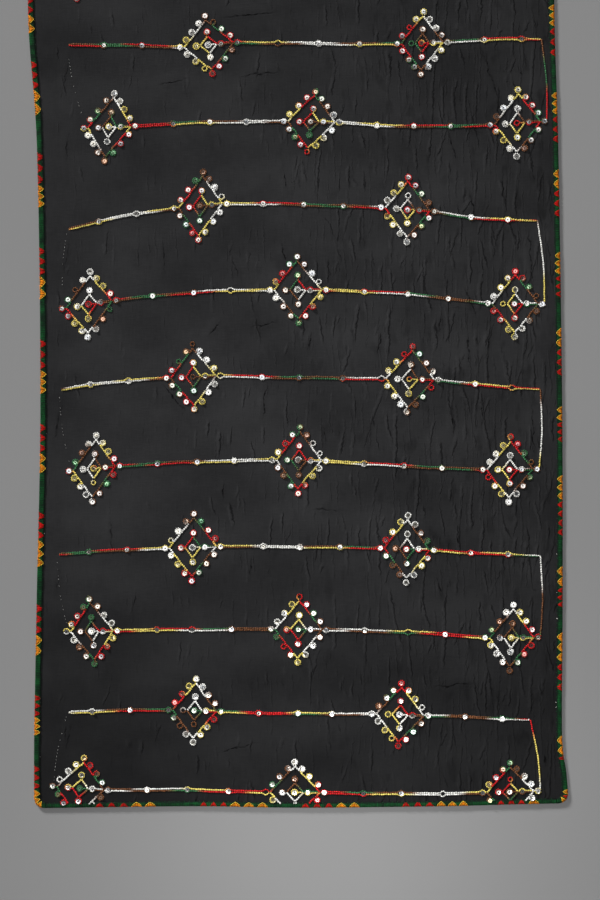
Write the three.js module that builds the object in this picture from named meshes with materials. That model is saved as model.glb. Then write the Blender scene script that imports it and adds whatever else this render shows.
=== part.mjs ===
// Embroidered chiffon dupatta, laid flat in one layer: a sheer black rectangle with a woven braid folded over
// its four edges. X runs across the width, Y along the length from the near end to the far end, +Z is up,
// and the origin is on the surface that it lies on, below the middle of the cloth. All sizes are millimetres.
import * as THREE from "three";

// Driving sizes
const LENGTH = 2250; // near end to far end
const CLOTH_WALL = 1.0;
const BRAID_WALL = 1.0;
const SEAM_GAP = 0.3; // between two pieces that meet
const BRAID_REACH = 10; // from the outer edge to the braid's inner edges, above and below the cloth
const CORNER_CUT = 20; // from a corner to where its rounding starts
const RISE_END = 55; // from the outer edge to where the cloth comes down flat on the surface
const CREASE_CLEAR = 14; // creases have died out this near the outer edge
const CREASE_FULL = 70; // and have their whole height this far from it

// Steps of the mesh
const END_STEPS = 28; // along each short end, between its corners
const SIDE_STEPS = 36; // along each long side, between its corners
const CORNER_STEPS = 4; // round each corner, an even number
const FOLD_STEPS = 4; // round the outside of the braid's fold
const FOLD_STEPS_INSIDE = 2; // round the inside of it

// What follows from them
const BRAID_HEIGHT = 2 * BRAID_WALL + 2 * SEAM_GAP + CLOTH_WALL;
const FOLD_RADIUS = BRAID_HEIGHT / 2;
const CLOTH_INSET = FOLD_RADIUS; // from the braid's outer edge to the cloth's raw edge inside the fold
const CLOTH_RISE = BRAID_WALL + SEAM_GAP; // how high the cloth lies over the braid's lower half
const RISE_START = BRAID_REACH + 2.5; // the cloth keeps that height this far in

// The long sides: how far along from the near end, and where the left and the right edge are there.
const SIDES = [
  { along: 60, left: -452, right: 459.9 },
  { along: 130, left: -451.8, right: 452.4 },
  { along: 357, left: -447.6, right: 453.4 },
  { along: 700, left: -441.2, right: 452.5 },
  { along: 1128, left: -447, right: 446 },
  { along: 1385, left: -462.6, right: 439 },
  { along: 1700, left: -448, right: 442 },
];

// The corners: the long sides and the short ends run between these.
const CORNERS = {
  nearLeft: { across: -452, along: 0 },
  nearRight: { across: 463.7, along: 8.5 },
  farLeft: { across: -450, along: LENGTH },
  farRight: { across: 449, along: LENGTH },
};

// The short ends: where across, and how far along the near and the far edge are there.
const ENDS = [
  { across: -180, near: 3.4, far: LENGTH - 3 },
  { across: 0, near: 0.9, far: LENGTH - 1 },
  { across: 245, near: 3.4, far: LENGTH - 4 },
  { across: 380, near: 6.9, far: LENGTH - 1 },
];

// The largest soft creases: the middle of each, its length, how far its far end leans to the right, the width
// of the ridge and its height. Those from 1400 on lie on the far half of the cloth.
const CREASES = [
  { across: 305, along: 900, length: 420, lean: -40, width: 76, lift: 1.5 },
  { across: 370, along: 560, length: 360, lean: 50, width: 70, lift: 1.2 },
  { across: 190, along: 1190, length: 300, lean: 90, width: 74, lift: 1.1 },
  { across: -60, along: 1270, length: 260, lean: 200, width: 80, lift: 1.0 },
  { across: -300, along: 1130, length: 330, lean: -30, width: 72, lift: 1.2 },
  { across: -230, along: 640, length: 280, lean: 24, width: 66, lift: 0.9 },
  { across: 130, along: 330, length: 300, lean: -60, width: 78, lift: 1.3 },
  { across: -330, along: 250, length: 240, lean: 36, width: 70, lift: 1.0 },
  { across: -200, along: 1560, length: 340, lean: 70, width: 76, lift: 1.3 },
  { across: 250, along: 1640, length: 400, lean: -50, width: 72, lift: 1.4 },
  { across: 40, along: 1890, length: 300, lean: 110, width: 80, lift: 1.1 },
  { across: 330, along: 2040, length: 230, lean: 20, width: 68, lift: 0.9 },
  { across: -320, along: 1980, length: 280, lean: -40, width: 74, lift: 1.2 },
];

const smoothStep = THREE.MathUtils.smoothstep;

/** A point of the plan, with the near end at Y = -LENGTH / 2. */
function planPoint(across, along) {
  return new THREE.Vector2(across, along - LENGTH / 2);
}

/** A smooth edge of the plan through its two corners and the points between them. */
function edgeCurve(from, between, to) {
  const ends = [from, to].map((corner) => planPoint(corner.across, corner.along));
  return new THREE.SplineCurve([ends[0], ...between, ends[1]]);
}

/** The points of an edge between the roundings at its two corners. */
function edgePoints(curve, steps) {
  const cut = CORNER_CUT / curve.getLength();
  return Array.from({ length: steps + 1 }, (_, i) =>
    curve.getPointAt(THREE.MathUtils.lerp(cut, 1 - cut, i / steps)),
  );
}

/** The points inside the rounding of a corner, without its two ends. */
function cornerPoints(before, corner, after) {
  const tip = planPoint(corner.across, corner.along);
  return new THREE.QuadraticBezierCurve(before, tip, after).getPoints(CORNER_STEPS).slice(1, -1);
}

/** The runs of the outline, counterclockwise from above: each end or side, and each corner after it. */
function outlineRuns() {
  const { nearLeft, nearRight, farLeft, farRight } = CORNERS;
  const column = (key) => ENDS.map((row) => planPoint(row.across, row[key]));
  const row = (key) => SIDES.map((side) => planPoint(side[key], side.along));
  const near = edgePoints(edgeCurve(nearLeft, column("near"), nearRight), END_STEPS);
  const right = edgePoints(edgeCurve(nearRight, row("right"), farRight), SIDE_STEPS);
  const far = edgePoints(edgeCurve(farLeft, column("far"), farRight), END_STEPS).reverse();
  const left = edgePoints(edgeCurve(nearLeft, row("left"), farLeft), SIDE_STEPS).reverse();
  return [
    near,
    cornerPoints(near.at(-1), nearRight, right[0]),
    right,
    cornerPoints(right.at(-1), farRight, far[0]),
    far,
    cornerPoints(far.at(-1), farLeft, left[0]),
    left,
    cornerPoints(left.at(-1), nearLeft, near[0]),
  ];
}

/** The outline's points in order, each with its direction of travel and the direction into the cloth. */
function outlineOf(runs) {
  const points = runs.flat();
  return points.map((at, i) => {
    const before = points.at(i - 1);
    const after = points[(i + 1) % points.length];
    const onward = after.clone().sub(before).normalize();
    return { at, onward, inward: new THREE.Vector2(-onward.y, onward.x) };
  });
}

/** How far a point of the plan lies from the outline. */
function distanceToOutline(outline, point) {
  const nearest = new THREE.Vector3();
  const place = new THREE.Vector3(point.x, point.y, 0);
  const side = new THREE.Line3();
  const distances = outline.map(({ at }, i) => {
    const next = outline[(i + 1) % outline.length].at;
    side.start.set(at.x, at.y, 0);
    side.end.set(next.x, next.y, 0);
    return side.closestPointToPoint(place, true, nearest).distanceTo(place);
  });
  return Math.min(...distances);
}

/** How far one crease lifts the cloth at a point: a soft ridge that fades to nothing at its ends and sides. */
function creaseLift(crease, point) {
  const middle = planPoint(crease.across, crease.along);
  const along = new THREE.Vector2(crease.lean, crease.length).normalize();
  const from = point.clone().sub(middle);
  const down = Math.abs(from.dot(along)) / (crease.length / 2);
  const beside = Math.abs(from.cross(along)) / (crease.width / 2);
  const fall = (share) => (share < 1 ? 0.5 + 0.5 * Math.cos(Math.PI * share) : 0);
  return crease.lift * fall(down) * fall(beside);
}

/** The height of the cloth's underside: over the braid's lower half at the edges, down on the surface inside. */
function undersideHeight(outline, point) {
  const inside = distanceToOutline(outline, point);
  const edge = CLOTH_RISE * (1 - smoothStep(inside, RISE_START, RISE_END));
  const free = smoothStep(inside, CREASE_CLEAR, CREASE_FULL);
  const lifts = CREASES.map((crease) => creaseLift(crease, point));
  return edge + free * Math.max(...lifts);
}

/** A named mesh of one closed body. */
function closedMesh(name, points, triangles, material) {
  const geometry = new THREE.BufferGeometry().setFromPoints(points);
  geometry.setIndex(triangles.flat());
  geometry.computeVertexNormals();
  const mesh = new THREE.Mesh(geometry, material);
  mesh.name = name;
  return mesh;
}

/** The four boundaries of the cloth's grid, each from corner to corner through the middles of the roundings. */
function clothBoundaries(runs, outline) {
  const insetPoints = outline.map(({ at, inward }) =>
    at.clone().addScaledVector(inward, CLOTH_INSET),
  );
  const half = CORNER_STEPS / 2;
  const count = outline.length;
  let start = 0;
  const firsts = runs.map((run) => {
    const first = start;
    start += run.length;
    return first;
  });
  const boundary = (run) =>
    Array.from(
      { length: runs[run].length + 2 * half },
      (_, i) => insetPoints[(firsts[run] - half + i + count) % count],
    );
  const [near, right, far, left] = [0, 2, 4, 6].map(boundary);
  return { near, right, far: far.reverse(), left: left.reverse() };
}

/** The plan points of the cloth, rows from the near end to the far end, blended from its four boundaries. */
function clothGrid({ near, right, far, left }) {
  const columns = near.length - 1;
  const rows = left.length - 1;
  const blend = (a, b, share) => a.clone().lerp(b, share);
  return left.map((leftPoint, j) =>
    near.map((nearPoint, i) => {
      const u = i / columns;
      const v = j / rows;
      const lengthwise = blend(nearPoint, far[i], v);
      const crosswise = blend(leftPoint, right[j], u);
      const corners = blend(blend(near[0], near[columns], u), blend(far[0], far[columns], u), v);
      return lengthwise.add(crosswise).sub(corners);
    }),
  );
}

/** The chiffon panel: a wall of even thickness that lies on the surface and enters the braid at its edges. */
function chiffonPanel(runs, outline, material) {
  const grid = clothGrid(clothBoundaries(runs, outline));
  const rows = grid.length;
  const columns = grid[0].length;
  const under = grid.flat().map((p) => new THREE.Vector3(p.x, p.y, undersideHeight(outline, p)));
  const over = under.map((p) => p.clone().setZ(p.z + CLOTH_WALL));
  const lower = (i, j) => j * columns + i;
  const upper = (i, j) => rows * columns + lower(i, j);
  const triangles = [];
  for (let j = 0; j < rows - 1; j++) {
    for (let i = 0; i < columns - 1; i++) {
      // Each square is cut along the diagonal that points to the nearest corner of the cloth.
      const rising = i < columns / 2 === j < rows / 2;
      const square = [
        [i, j],
        [i + 1, j],
        [i + 1, j + 1],
        [i, j + 1],
      ];
      const halves = rising ? [[0, 1, 2], [0, 2, 3]] : [[0, 1, 3], [1, 2, 3]];
      for (const half of halves) {
        triangles.push(half.map((k) => upper(...square[k])));
        triangles.push(half.map((k) => lower(...square[k])).reverse());
      }
    }
  }
  const rim = [
    ...Array.from({ length: columns - 1 }, (_, i) => [i, 0]),
    ...Array.from({ length: rows - 1 }, (_, j) => [columns - 1, j]),
    ...Array.from({ length: columns - 1 }, (_, i) => [columns - 1 - i, rows - 1]),
    ...Array.from({ length: rows - 1 }, (_, j) => [0, rows - 1 - j]),
  ];
  rim.forEach((a, k) => {
    const b = rim[(k + 1) % rim.length];
    triangles.push([lower(...a), lower(...b), upper(...b)]);
    triangles.push([lower(...a), upper(...b), upper(...a)]);
  });
  return closedMesh("chiffon_panel", [...under, ...over], triangles, material);
}

/** An arc of the braid's section about the fold's centre, from the top round the outside to the bottom. */
function foldArc(radius, steps) {
  return Array.from({ length: steps + 1 }, (_, i) => {
    const angle = Math.PI / 2 + (Math.PI * i) / steps;
    return new THREE.Vector2(
      FOLD_RADIUS + radius * Math.cos(angle),
      FOLD_RADIUS + radius * Math.sin(angle),
    );
  });
}

/** The braid's section: X is how far in from the outer edge, Y is the height. It is one fold with two legs. */
function braidSection() {
  return [
    new THREE.Vector2(BRAID_REACH, BRAID_HEIGHT),
    ...foldArc(FOLD_RADIUS, FOLD_STEPS),
    new THREE.Vector2(BRAID_REACH, 0),
    new THREE.Vector2(BRAID_REACH, BRAID_WALL),
    ...foldArc(FOLD_RADIUS - BRAID_WALL, FOLD_STEPS_INSIDE).reverse(),
    new THREE.Vector2(BRAID_REACH, BRAID_HEIGHT - BRAID_WALL),
  ];
}

/** A length of braid folded over the outline between two of its points. */
function foldedBraid(name, stations, material) {
  const section = braidSection();
  const points = stations.flatMap(({ at, inward }) =>
    section.map(({ x, y }) => new THREE.Vector3(at.x + inward.x * x, at.y + inward.y * x, y)),
  );
  const triangles = [];
  for (let k = 0; k < stations.length - 1; k++) {
    section.forEach((_, i) => {
      const j = (i + 1) % section.length;
      const [a, b] = [k * section.length + i, k * section.length + j];
      triangles.push([a, b, b + section.length], [a, b + section.length, a + section.length]);
    });
  }
  const last = (stations.length - 1) * section.length;
  for (const cap of THREE.ShapeUtils.triangulateShape(section, [])) {
    triangles.push([...cap].reverse());
    triangles.push(cap.map((i) => last + i));
  }
  return closedMesh(name, points, triangles, material);
}

/** The stations of one run of the outline, drawn back a seam's gap at both ends. */
function drawnBack(stations) {
  const moved = (station, distance) => ({
    ...station,
    at: station.at.clone().addScaledVector(station.onward, distance),
  });
  return [
    moved(stations[0], SEAM_GAP),
    ...stations.slice(1, -1),
    moved(stations.at(-1), -SEAM_GAP),
  ];
}

/** The four lengths of braid: the long sides take the corners, and the short ends butt against them. */
function borderBraids(runs, outline, material) {
  const [near, , , , , , left] = runs.map((run) => run.length);
  const right = left;
  const corner = CORNER_STEPS - 1;
  const round = (from, count) =>
    Array.from({ length: count }, (_, i) => outline[(from + i) % outline.length]);
  const rightStart = near - 1; // the last point of the near end
  const farStart = near + corner + right + corner;
  const leftStart = farStart + near - 1; // the last point of the far end
  const sideCount = right + 2 * corner + 2;
  return [
    foldedBraid("near_trim", drawnBack(round(0, near)), material),
    foldedBraid("right_trim", round(rightStart, sideCount), material),
    foldedBraid("far_trim", drawnBack(round(farStart, near)), material),
    foldedBraid("left_trim", round(leftStart, sideCount), material),
  ];
}

const chiffon = new THREE.MeshStandardMaterial({ color: 0x232325, roughness: 0.85, metalness: 0 });
const braid = new THREE.MeshStandardMaterial({ color: 0x0f4b23, roughness: 0.7, metalness: 0 });

const runs = outlineRuns();
const outline = outlineOf(runs);

const dupatta = new THREE.Group();
dupatta.name = "embroidered_chiffon_dupatta";
dupatta.add(chiffonPanel(runs, outline, chiffon));
dupatta.add(...borderBraids(runs, outline, braid));

export default dupatta;
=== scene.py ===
"""Embroidered chiffon dupatta, laid flat in one layer.

Black crepe chiffon with soft creases and small crinkles, a woven braid folded over its four edges, and
rows of stitched diamonds, joining lines and ringed sequins in variegated thread. Lengths are metres: X runs
across the cloth and Y along it. "Along" is measured from the near end, "across" from the middle.
"""

import logging
import math
from dataclasses import dataclass, field
from enum import Enum
from functools import reduce
from typing import NamedTuple

import bmesh
import bpy
import numpy as np
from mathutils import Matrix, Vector
from mathutils.bvhtree import BVHTree


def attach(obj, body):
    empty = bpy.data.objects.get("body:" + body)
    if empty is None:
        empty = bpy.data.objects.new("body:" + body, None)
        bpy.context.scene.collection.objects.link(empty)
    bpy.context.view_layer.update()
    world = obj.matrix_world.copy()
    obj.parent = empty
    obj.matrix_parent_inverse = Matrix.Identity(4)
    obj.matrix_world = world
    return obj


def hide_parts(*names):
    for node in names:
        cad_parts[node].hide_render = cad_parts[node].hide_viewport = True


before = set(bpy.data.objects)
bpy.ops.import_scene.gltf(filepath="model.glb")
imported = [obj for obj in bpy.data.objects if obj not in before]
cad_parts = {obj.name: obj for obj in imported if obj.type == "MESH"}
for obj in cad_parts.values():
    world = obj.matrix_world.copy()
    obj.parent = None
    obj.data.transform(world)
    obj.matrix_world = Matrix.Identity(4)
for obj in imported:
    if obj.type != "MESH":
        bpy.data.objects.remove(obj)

log = logging.getLogger("dupatta")

Array = np.ndarray
Colour = tuple[float, float, float]
Mesh = bpy.types.Mesh
Piece = bpy.types.Object
Material = bpy.types.Material
Socket = bpy.types.NodeSocket

BODY = "root"
THREAD_COLOUR = "thread_colour"
# The sequins' colour attribute: a faint tint of each, with a painted reflection of the thread round it.
SEQUIN_TINT_AND_REFLECTION = "tint"
UP = (0.0, 0.0, 1.0)
TINY = 1e-6


# Small tools for numbers, curves and meshes.


def screen_colour(red: int, green: int, blue: int) -> Colour:
    """Turn a colour as a screen shows it into linear light.

    Args:
        red: Red, from 0 to 255.
        green: Green, from 0 to 255.
        blue: Blue, from 0 to 255.

    Returns:
        The three linear values, from 0 to 1.
    """
    shares = (value / 255 for value in (red, green, blue))
    return tuple(s / 12.92 if s <= 0.04045 else ((s + 0.055) / 1.055) ** 2.4 for s in shares)


def smooth_step(value: Array, low: float, high: float) -> Array:
    """Rise smoothly from 0 at low to 1 at high.

    Args:
        value: The values to judge.
        low: Where the rise starts.
        high: Where it ends.

    Returns:
        The height of the rise at each value.
    """
    share = np.clip((value - low) / (high - low), 0, 1)
    return share * share * (3 - 2 * share)


def cosine_fall(share: Array) -> Array:
    """Fall softly from 1 at a share of 0 to nothing at 1 and beyond."""
    return 0.5 + 0.5 * np.cos(np.pi * np.minimum(np.abs(share), 1))


def unit(vectors: Array) -> Array:
    """Scale vectors, held in the last axis, to length 1."""
    return vectors / np.maximum(np.linalg.norm(vectors, axis=-1, keepdims=True), 1e-12)


class Ripple(NamedTuple):
    """A small wave: its height, its fineness per metre and its phase."""

    height: float
    fineness: float
    phase: float = 0.0

    def at(self, way: Array) -> Array:
        """Find its height at places along a way."""
        return self.height * np.sin(self.fineness * way + self.phase)


def travelled(points: Array) -> Array:
    """Measure the distance travelled along a path at each of its points."""
    steps = np.linalg.norm(np.diff(points, axis=0), axis=1)
    return np.concatenate([[0.0], np.cumsum(steps)])


def places_at(points: Array, distances: Array) -> Array:
    """Find the places at given distances along a path.

    Args:
        points: The path, a row for each point.
        distances: How far along each place is.

    Returns:
        A row for each place.
    """
    way = travelled(points)
    return np.column_stack([np.interp(distances, way, points[:, k]) for k in range(points.shape[1])])


def smooth_curve(knots: Array, per_span: int = 48) -> Array:
    """Draw a smooth curve through its knots.

    Args:
        knots: The points that the curve passes through.
        per_span: How many steps there are between two knots.

    Returns:
        The curve's points, from the first knot to the last.
    """
    padded = np.vstack([knots[:1], knots, knots[-1:]])
    share = np.linspace(0, 1, per_span, endpoint=False)[:, None]
    spans = []
    for before, start, end, after in zip(padded, padded[1:], padded[2:], padded[3:]):
        leave = (end - before) / 2
        arrive = (after - start) / 2
        cubic = (2 * start - 2 * end + leave + arrive) * share**3
        square = (-3 * start + 3 * end - 2 * leave - arrive) * share**2
        spans.append(cubic + square + leave * share + start)
    return np.vstack([*spans, knots[-1:]])


def mesh_places(mesh: Mesh) -> Array:
    """Read the places of a mesh's vertices.

    Args:
        mesh: The mesh to read.

    Returns:
        A row for each vertex.
    """
    flat = np.empty(len(mesh.vertices) * 3)
    mesh.vertices.foreach_get("co", flat)
    return flat.reshape(-1, 3)


def move_mesh(mesh: Mesh, places: Array) -> None:
    """Move a mesh's vertices to new places.

    Args:
        mesh: The mesh to change.
        places: A row for each vertex.
    """
    mesh.vertices.foreach_set("co", np.ascontiguousarray(places, dtype=np.float64).ravel())
    mesh.update()


def unit_grid(name: str, columns: int, rows: int) -> tuple[Mesh, Array]:
    """Make a flat grid that faces up, to be moved onto a curved surface.

    Args:
        name: The mesh's name.
        columns: Squares along X.
        rows: Squares along Y.

    Returns:
        The mesh, and where each vertex is on it, from 0 to 1 in both directions.
    """
    work = bmesh.new()
    bmesh.ops.create_grid(work, x_segments=columns, y_segments=rows, size=0.5)
    mesh = bpy.data.meshes.new(name)
    work.to_mesh(mesh)
    work.free()
    flat = mesh_places(mesh)[:, :2]
    low = flat.min(axis=0)
    return mesh, (flat - low) / (flat.max(axis=0) - low)


def read_shape(work: bmesh.types.BMesh) -> tuple[Array, Array]:
    """Read a small triangulated shape and put its bmesh away.

    Args:
        work: The bmesh.

    Returns:
        Its vertices, and the corners of each face.
    """
    bmesh.ops.triangulate(work, faces=work.faces)
    work.verts.index_update()
    points = np.array([vertex.co[:] for vertex in work.verts])
    faces = np.array([[corner.index for corner in face.verts] for face in work.faces])
    work.free()
    return points, faces


def paint(mesh: Mesh, name: str, values: Array) -> None:
    """Store a number or a colour for each vertex.

    Args:
        mesh: The mesh to mark.
        name: The attribute's name, which its material reads.
        values: One number, or one row of three, for each vertex.
    """
    if values.ndim == 1:
        store = mesh.attributes.new(name, "FLOAT", "POINT")
        store.data.foreach_set("value", values.astype(np.float32))
        return
    store = mesh.color_attributes.new(name, "FLOAT_COLOR", "POINT")
    full = np.column_stack([values, np.ones(len(values))]).astype(np.float32)
    store.data.foreach_set("color", full.ravel())


def place_piece(name: str, mesh: Mesh, material: Material, smooth: bool = True) -> Piece:
    """Put a finished mesh in the scene as a piece of the dupatta.

    Args:
        name: The piece's name.
        mesh: Its mesh, already in place.
        material: Its finish.
        smooth: False where each face is flat, such as on foil.

    Returns:
        The new object.
    """
    mesh.name = name
    mesh.materials.clear()
    mesh.materials.append(material)
    mesh.polygons.foreach_set("use_smooth", [smooth] * len(mesh.polygons))
    piece = bpy.data.objects.new(name, mesh)
    bpy.context.scene.collection.objects.link(piece)
    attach(piece, BODY)
    log.info("%s: %d faces", name, len(mesh.polygons))
    return piece


def thicken(piece: Piece, wall: float, outward: bool) -> None:
    """Give a sheet its wall.

    Args:
        piece: The sheet.
        wall: Its thickness.
        outward: True to add the wall on the side its faces point to, False for the other side.
    """
    modifier = piece.modifiers.new("wall", "SOLIDIFY")
    modifier.thickness = wall
    modifier.offset = 1 if outward else -1
    modifier.use_even_offset = False


# The outline and the creases.


class SideRow(NamedTuple):
    """Where the two long edges are at one place along the cloth."""

    along: float
    left: float
    right: float


class EndRow(NamedTuple):
    """How far along the two short edges are at one place across the cloth."""

    across: float
    near: float
    far: float


class Run(Enum):
    """The straight runs of the outline, counterclockwise from above, by their place in the list of runs."""

    NEAR = 0
    RIGHT = 2
    FAR = 4
    LEFT = 6


@dataclass(frozen=True)
class Stations:
    """Points along a stretch of the outline.

    Attributes:
        places: Each point.
        inward: The direction into the cloth at each point.
        way: The distance travelled along the stretch.
    """

    places: Array
    inward: Array
    way: Array

    def at(self, distances: Array) -> tuple[Array, Array]:
        """Find places and inward directions on the stretch.

        Args:
            distances: How far along the stretch each place is.

        Returns:
            The places, and the inward direction at each.
        """
        places = np.column_stack([np.interp(distances, self.way, self.places[:, k]) for k in (0, 1)])
        inward = np.column_stack([np.interp(distances, self.way, self.inward[:, k]) for k in (0, 1)])
        return places, unit(inward)


@dataclass(frozen=True)
class ClothPlan:
    """The outline of the laid cloth, from its corners and a few places on each edge.

    Attributes:
        corner_cut: How far from a corner its rounding starts.
        coarse: Distances to the outline are measured from each point of this number.
        block: How many distances are measured at a time.
    """

    length: float = 2.250
    corner_cut: float = 0.020
    step: float = 0.004
    coarse: int = 3
    block: int = 2000
    near_left: tuple[float, float] = (-0.4520, 0.0)
    near_right: tuple[float, float] = (0.4637, 0.0085)
    far_left: tuple[float, float] = (-0.4500, 2.250)
    far_right: tuple[float, float] = (0.4490, 2.250)
    sides: tuple[SideRow, ...] = (
        SideRow(along=0.060, left=-0.4520, right=0.4599),
        SideRow(along=0.130, left=-0.4518, right=0.4524),
        SideRow(along=0.357, left=-0.4476, right=0.4534),
        SideRow(along=0.700, left=-0.4412, right=0.4525),
        SideRow(along=1.128, left=-0.4470, right=0.4460),
        SideRow(along=1.385, left=-0.4626, right=0.4390),
        SideRow(along=1.700, left=-0.4480, right=0.4420),
    )
    ends: tuple[EndRow, ...] = (
        EndRow(across=-0.180, near=0.0034, far=2.247),
        EndRow(across=0.000, near=0.0009, far=2.249),
        EndRow(across=0.245, near=0.0034, far=2.246),
        EndRow(across=0.380, near=0.0069, far=2.249),
    )

    def place(self, across: float, along: float) -> Array:
        """Turn a place on the cloth into a point of the scene's XY plane."""
        return np.array([across, along - self.length / 2])

    def _edge(self, start: tuple, between: list[tuple], end: tuple) -> Array:
        """Draw one edge between the roundings at its two corners.

        Args:
            start: The first corner.
            between: The places that the edge passes on its way.
            end: The last corner.

        Returns:
            The edge's points.
        """
        curve = smooth_curve(np.array([self.place(*spot) for spot in (start, *between, end)]))
        whole = travelled(curve)[-1]
        count = round(whole / self.step)
        return places_at(curve, np.linspace(self.corner_cut, whole - self.corner_cut, count))

    def _rounding(self, before: Array, corner: tuple, after: Array) -> Array:
        """Draw the inner points of a corner's rounding.

        Args:
            before: The last point of the run before it.
            corner: The sharp corner.
            after: The first point of the run after it.

        Returns:
            The points between them.
        """
        tip = self.place(*corner)
        count = 2 * round(self.corner_cut / self.step) + 1
        share = np.linspace(0, 1, count)[1:-1, None]
        return (1 - share) ** 2 * before + 2 * share * (1 - share) * tip + share**2 * after

    def runs(self) -> list[Array]:
        """Draw the eight runs of the outline.

        Returns:
            Each edge, with the corner that follows it.
        """
        ends, sides = self.ends, self.sides
        near = self._edge(self.near_left, [(e.across, e.near) for e in ends], self.near_right)
        far = self._edge(self.far_left, [(e.across, e.far) for e in ends], self.far_right)[::-1]
        right = self._edge(self.near_right, [(s.right, s.along) for s in sides], self.far_right)
        left = self._edge(self.near_left, [(s.left, s.along) for s in sides], self.far_left)[::-1]
        return [
            near,
            self._rounding(near[-1], self.near_right, right[0]),
            right,
            self._rounding(right[-1], self.far_right, far[0]),
            far,
            self._rounding(far[-1], self.far_left, left[0]),
            left,
            self._rounding(left[-1], self.near_left, near[0]),
        ]

    def outline(self) -> Stations:
        """Join the runs into the closed outline.

        Returns:
            Its stations, without repeating the first.
        """
        places = np.vstack(self.runs())
        onward = unit(np.roll(places, -1, axis=0) - np.roll(places, 1, axis=0))
        inward = np.column_stack([-onward[:, 1], onward[:, 0]])
        return Stations(places, inward, travelled(places))

    @staticmethod
    def _starts(runs: list[Array]) -> Array:
        """Find the number of each run's first point on the outline."""
        return np.concatenate([[0], np.cumsum([len(run) for run in runs])])

    def stretch(self, run: Run, corners: bool) -> Stations:
        """Take a stretch of the outline.

        Args:
            run: The edge that it follows.
            corners: True to take the roundings at both ends of the edge as well.

        Returns:
            The stations of the stretch, in the outline's direction.
        """
        runs = self.runs()
        outline = self.outline()
        first = int(self._starts(runs)[run.value])
        last = first + len(runs[run.value]) - 1
        if corners:
            first -= len(runs[run.value - 1]) + 1
            last += len(runs[(run.value + 1) % len(runs)]) + 1
        picked = np.arange(first, last + 1) % len(outline.places)
        places = outline.places[picked]
        return Stations(places, outline.inward[picked], travelled(places))

    def boundaries(self, inset: float) -> tuple[Array, Array, Array, Array]:
        """Draw the four sides of the cloth's grid, each between the middles of two roundings.

        Args:
            inset: How far in from the outline they run.

        Returns:
            The near, right, far and left sides, each towards higher X or Y.
        """
        outline = self.outline()
        inner = outline.places + outline.inward * inset
        runs = self.runs()
        starts = self._starts(runs)
        sides = []
        for run in Run:
            half = len(runs[run.value + 1]) // 2 + 1
            first = int(starts[run.value]) - half
            count = len(runs[run.value]) + 2 * half
            sides.append(inner[np.arange(first, first + count) % len(inner)])
        near, right, far, left = sides
        return near, right, far[::-1], left[::-1]

    def spread(self, shares: Array, inset: float) -> Array:
        """Spread a unit grid over the cloth.

        Args:
            shares: Where each vertex is on the grid, from 0 to 1.
            inset: How far in from the outline the cloth ends.

        Returns:
            Each vertex's place on the plan.
        """
        near, right, far, left = self.boundaries(inset)
        across = shares[:, :1]
        along = shares[:, 1:]

        def on(side: Array, share: Array) -> Array:
            """Find the places on a side of the grid."""
            return places_at(side, share[:, 0] * travelled(side)[-1])

        lengthwise = on(near, across) * (1 - along) + on(far, across) * along
        crosswise = on(left, along) * (1 - across) + on(right, along) * across
        close = near[0] * (1 - across) + near[-1] * across
        distant = far[0] * (1 - across) + far[-1] * across
        return lengthwise + crosswise - close * (1 - along) - distant * along

    def inside(self, points: Array) -> Array:
        """Measure how far points of the plan lie from the outline.

        Args:
            points: A row for each point.

        Returns:
            The distance of each.
        """
        corners = self.outline().places[:: self.coarse]
        ahead = np.roll(corners, -1, axis=0) - corners
        square = (ahead**2).sum(axis=1)
        nearest = []
        for block in np.array_split(points, max(1, len(points) // self.block)):
            off = block[:, None, :] - corners
            share = np.clip((off * ahead).sum(axis=2) / square, 0, 1)
            nearest.append(np.linalg.norm(off - share[..., None] * ahead, axis=2).min(axis=1))
        return np.concatenate(nearest)


class BroadCrease(NamedTuple):
    """A broad soft ridge: its middle, length, lean of its far end to the right, width and height."""

    across: float
    along: float
    length: float
    lean: float
    width: float
    lift: float


class FineCrease(NamedTuple):
    """A narrow ridge between two ends, with its width and height."""

    near_across: float
    near_along: float
    far_across: float
    far_along: float
    width: float
    lift: float


BROAD_CREASES = tuple(
    BroadCrease(*row)
    for row in (
        (0.305, 0.900, 0.420, -0.040, 0.076, 0.0015),
        (0.370, 0.560, 0.360, 0.050, 0.070, 0.0012),
        (0.190, 1.190, 0.300, 0.090, 0.074, 0.0011),
        (-0.060, 1.270, 0.260, 0.200, 0.080, 0.0010),
        (-0.300, 1.130, 0.330, -0.030, 0.072, 0.0012),
        (-0.230, 0.640, 0.280, 0.024, 0.066, 0.0009),
        (0.130, 0.330, 0.300, -0.060, 0.078, 0.0013),
        (-0.330, 0.250, 0.240, 0.036, 0.070, 0.0010),
        (-0.200, 1.560, 0.340, 0.070, 0.076, 0.0013),
        (0.250, 1.640, 0.400, -0.050, 0.072, 0.0014),
        (0.040, 1.890, 0.300, 0.110, 0.080, 0.0011),
        (0.330, 2.040, 0.230, 0.020, 0.068, 0.0009),
        (-0.320, 1.980, 0.280, -0.040, 0.074, 0.0012),
    )
)

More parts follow.
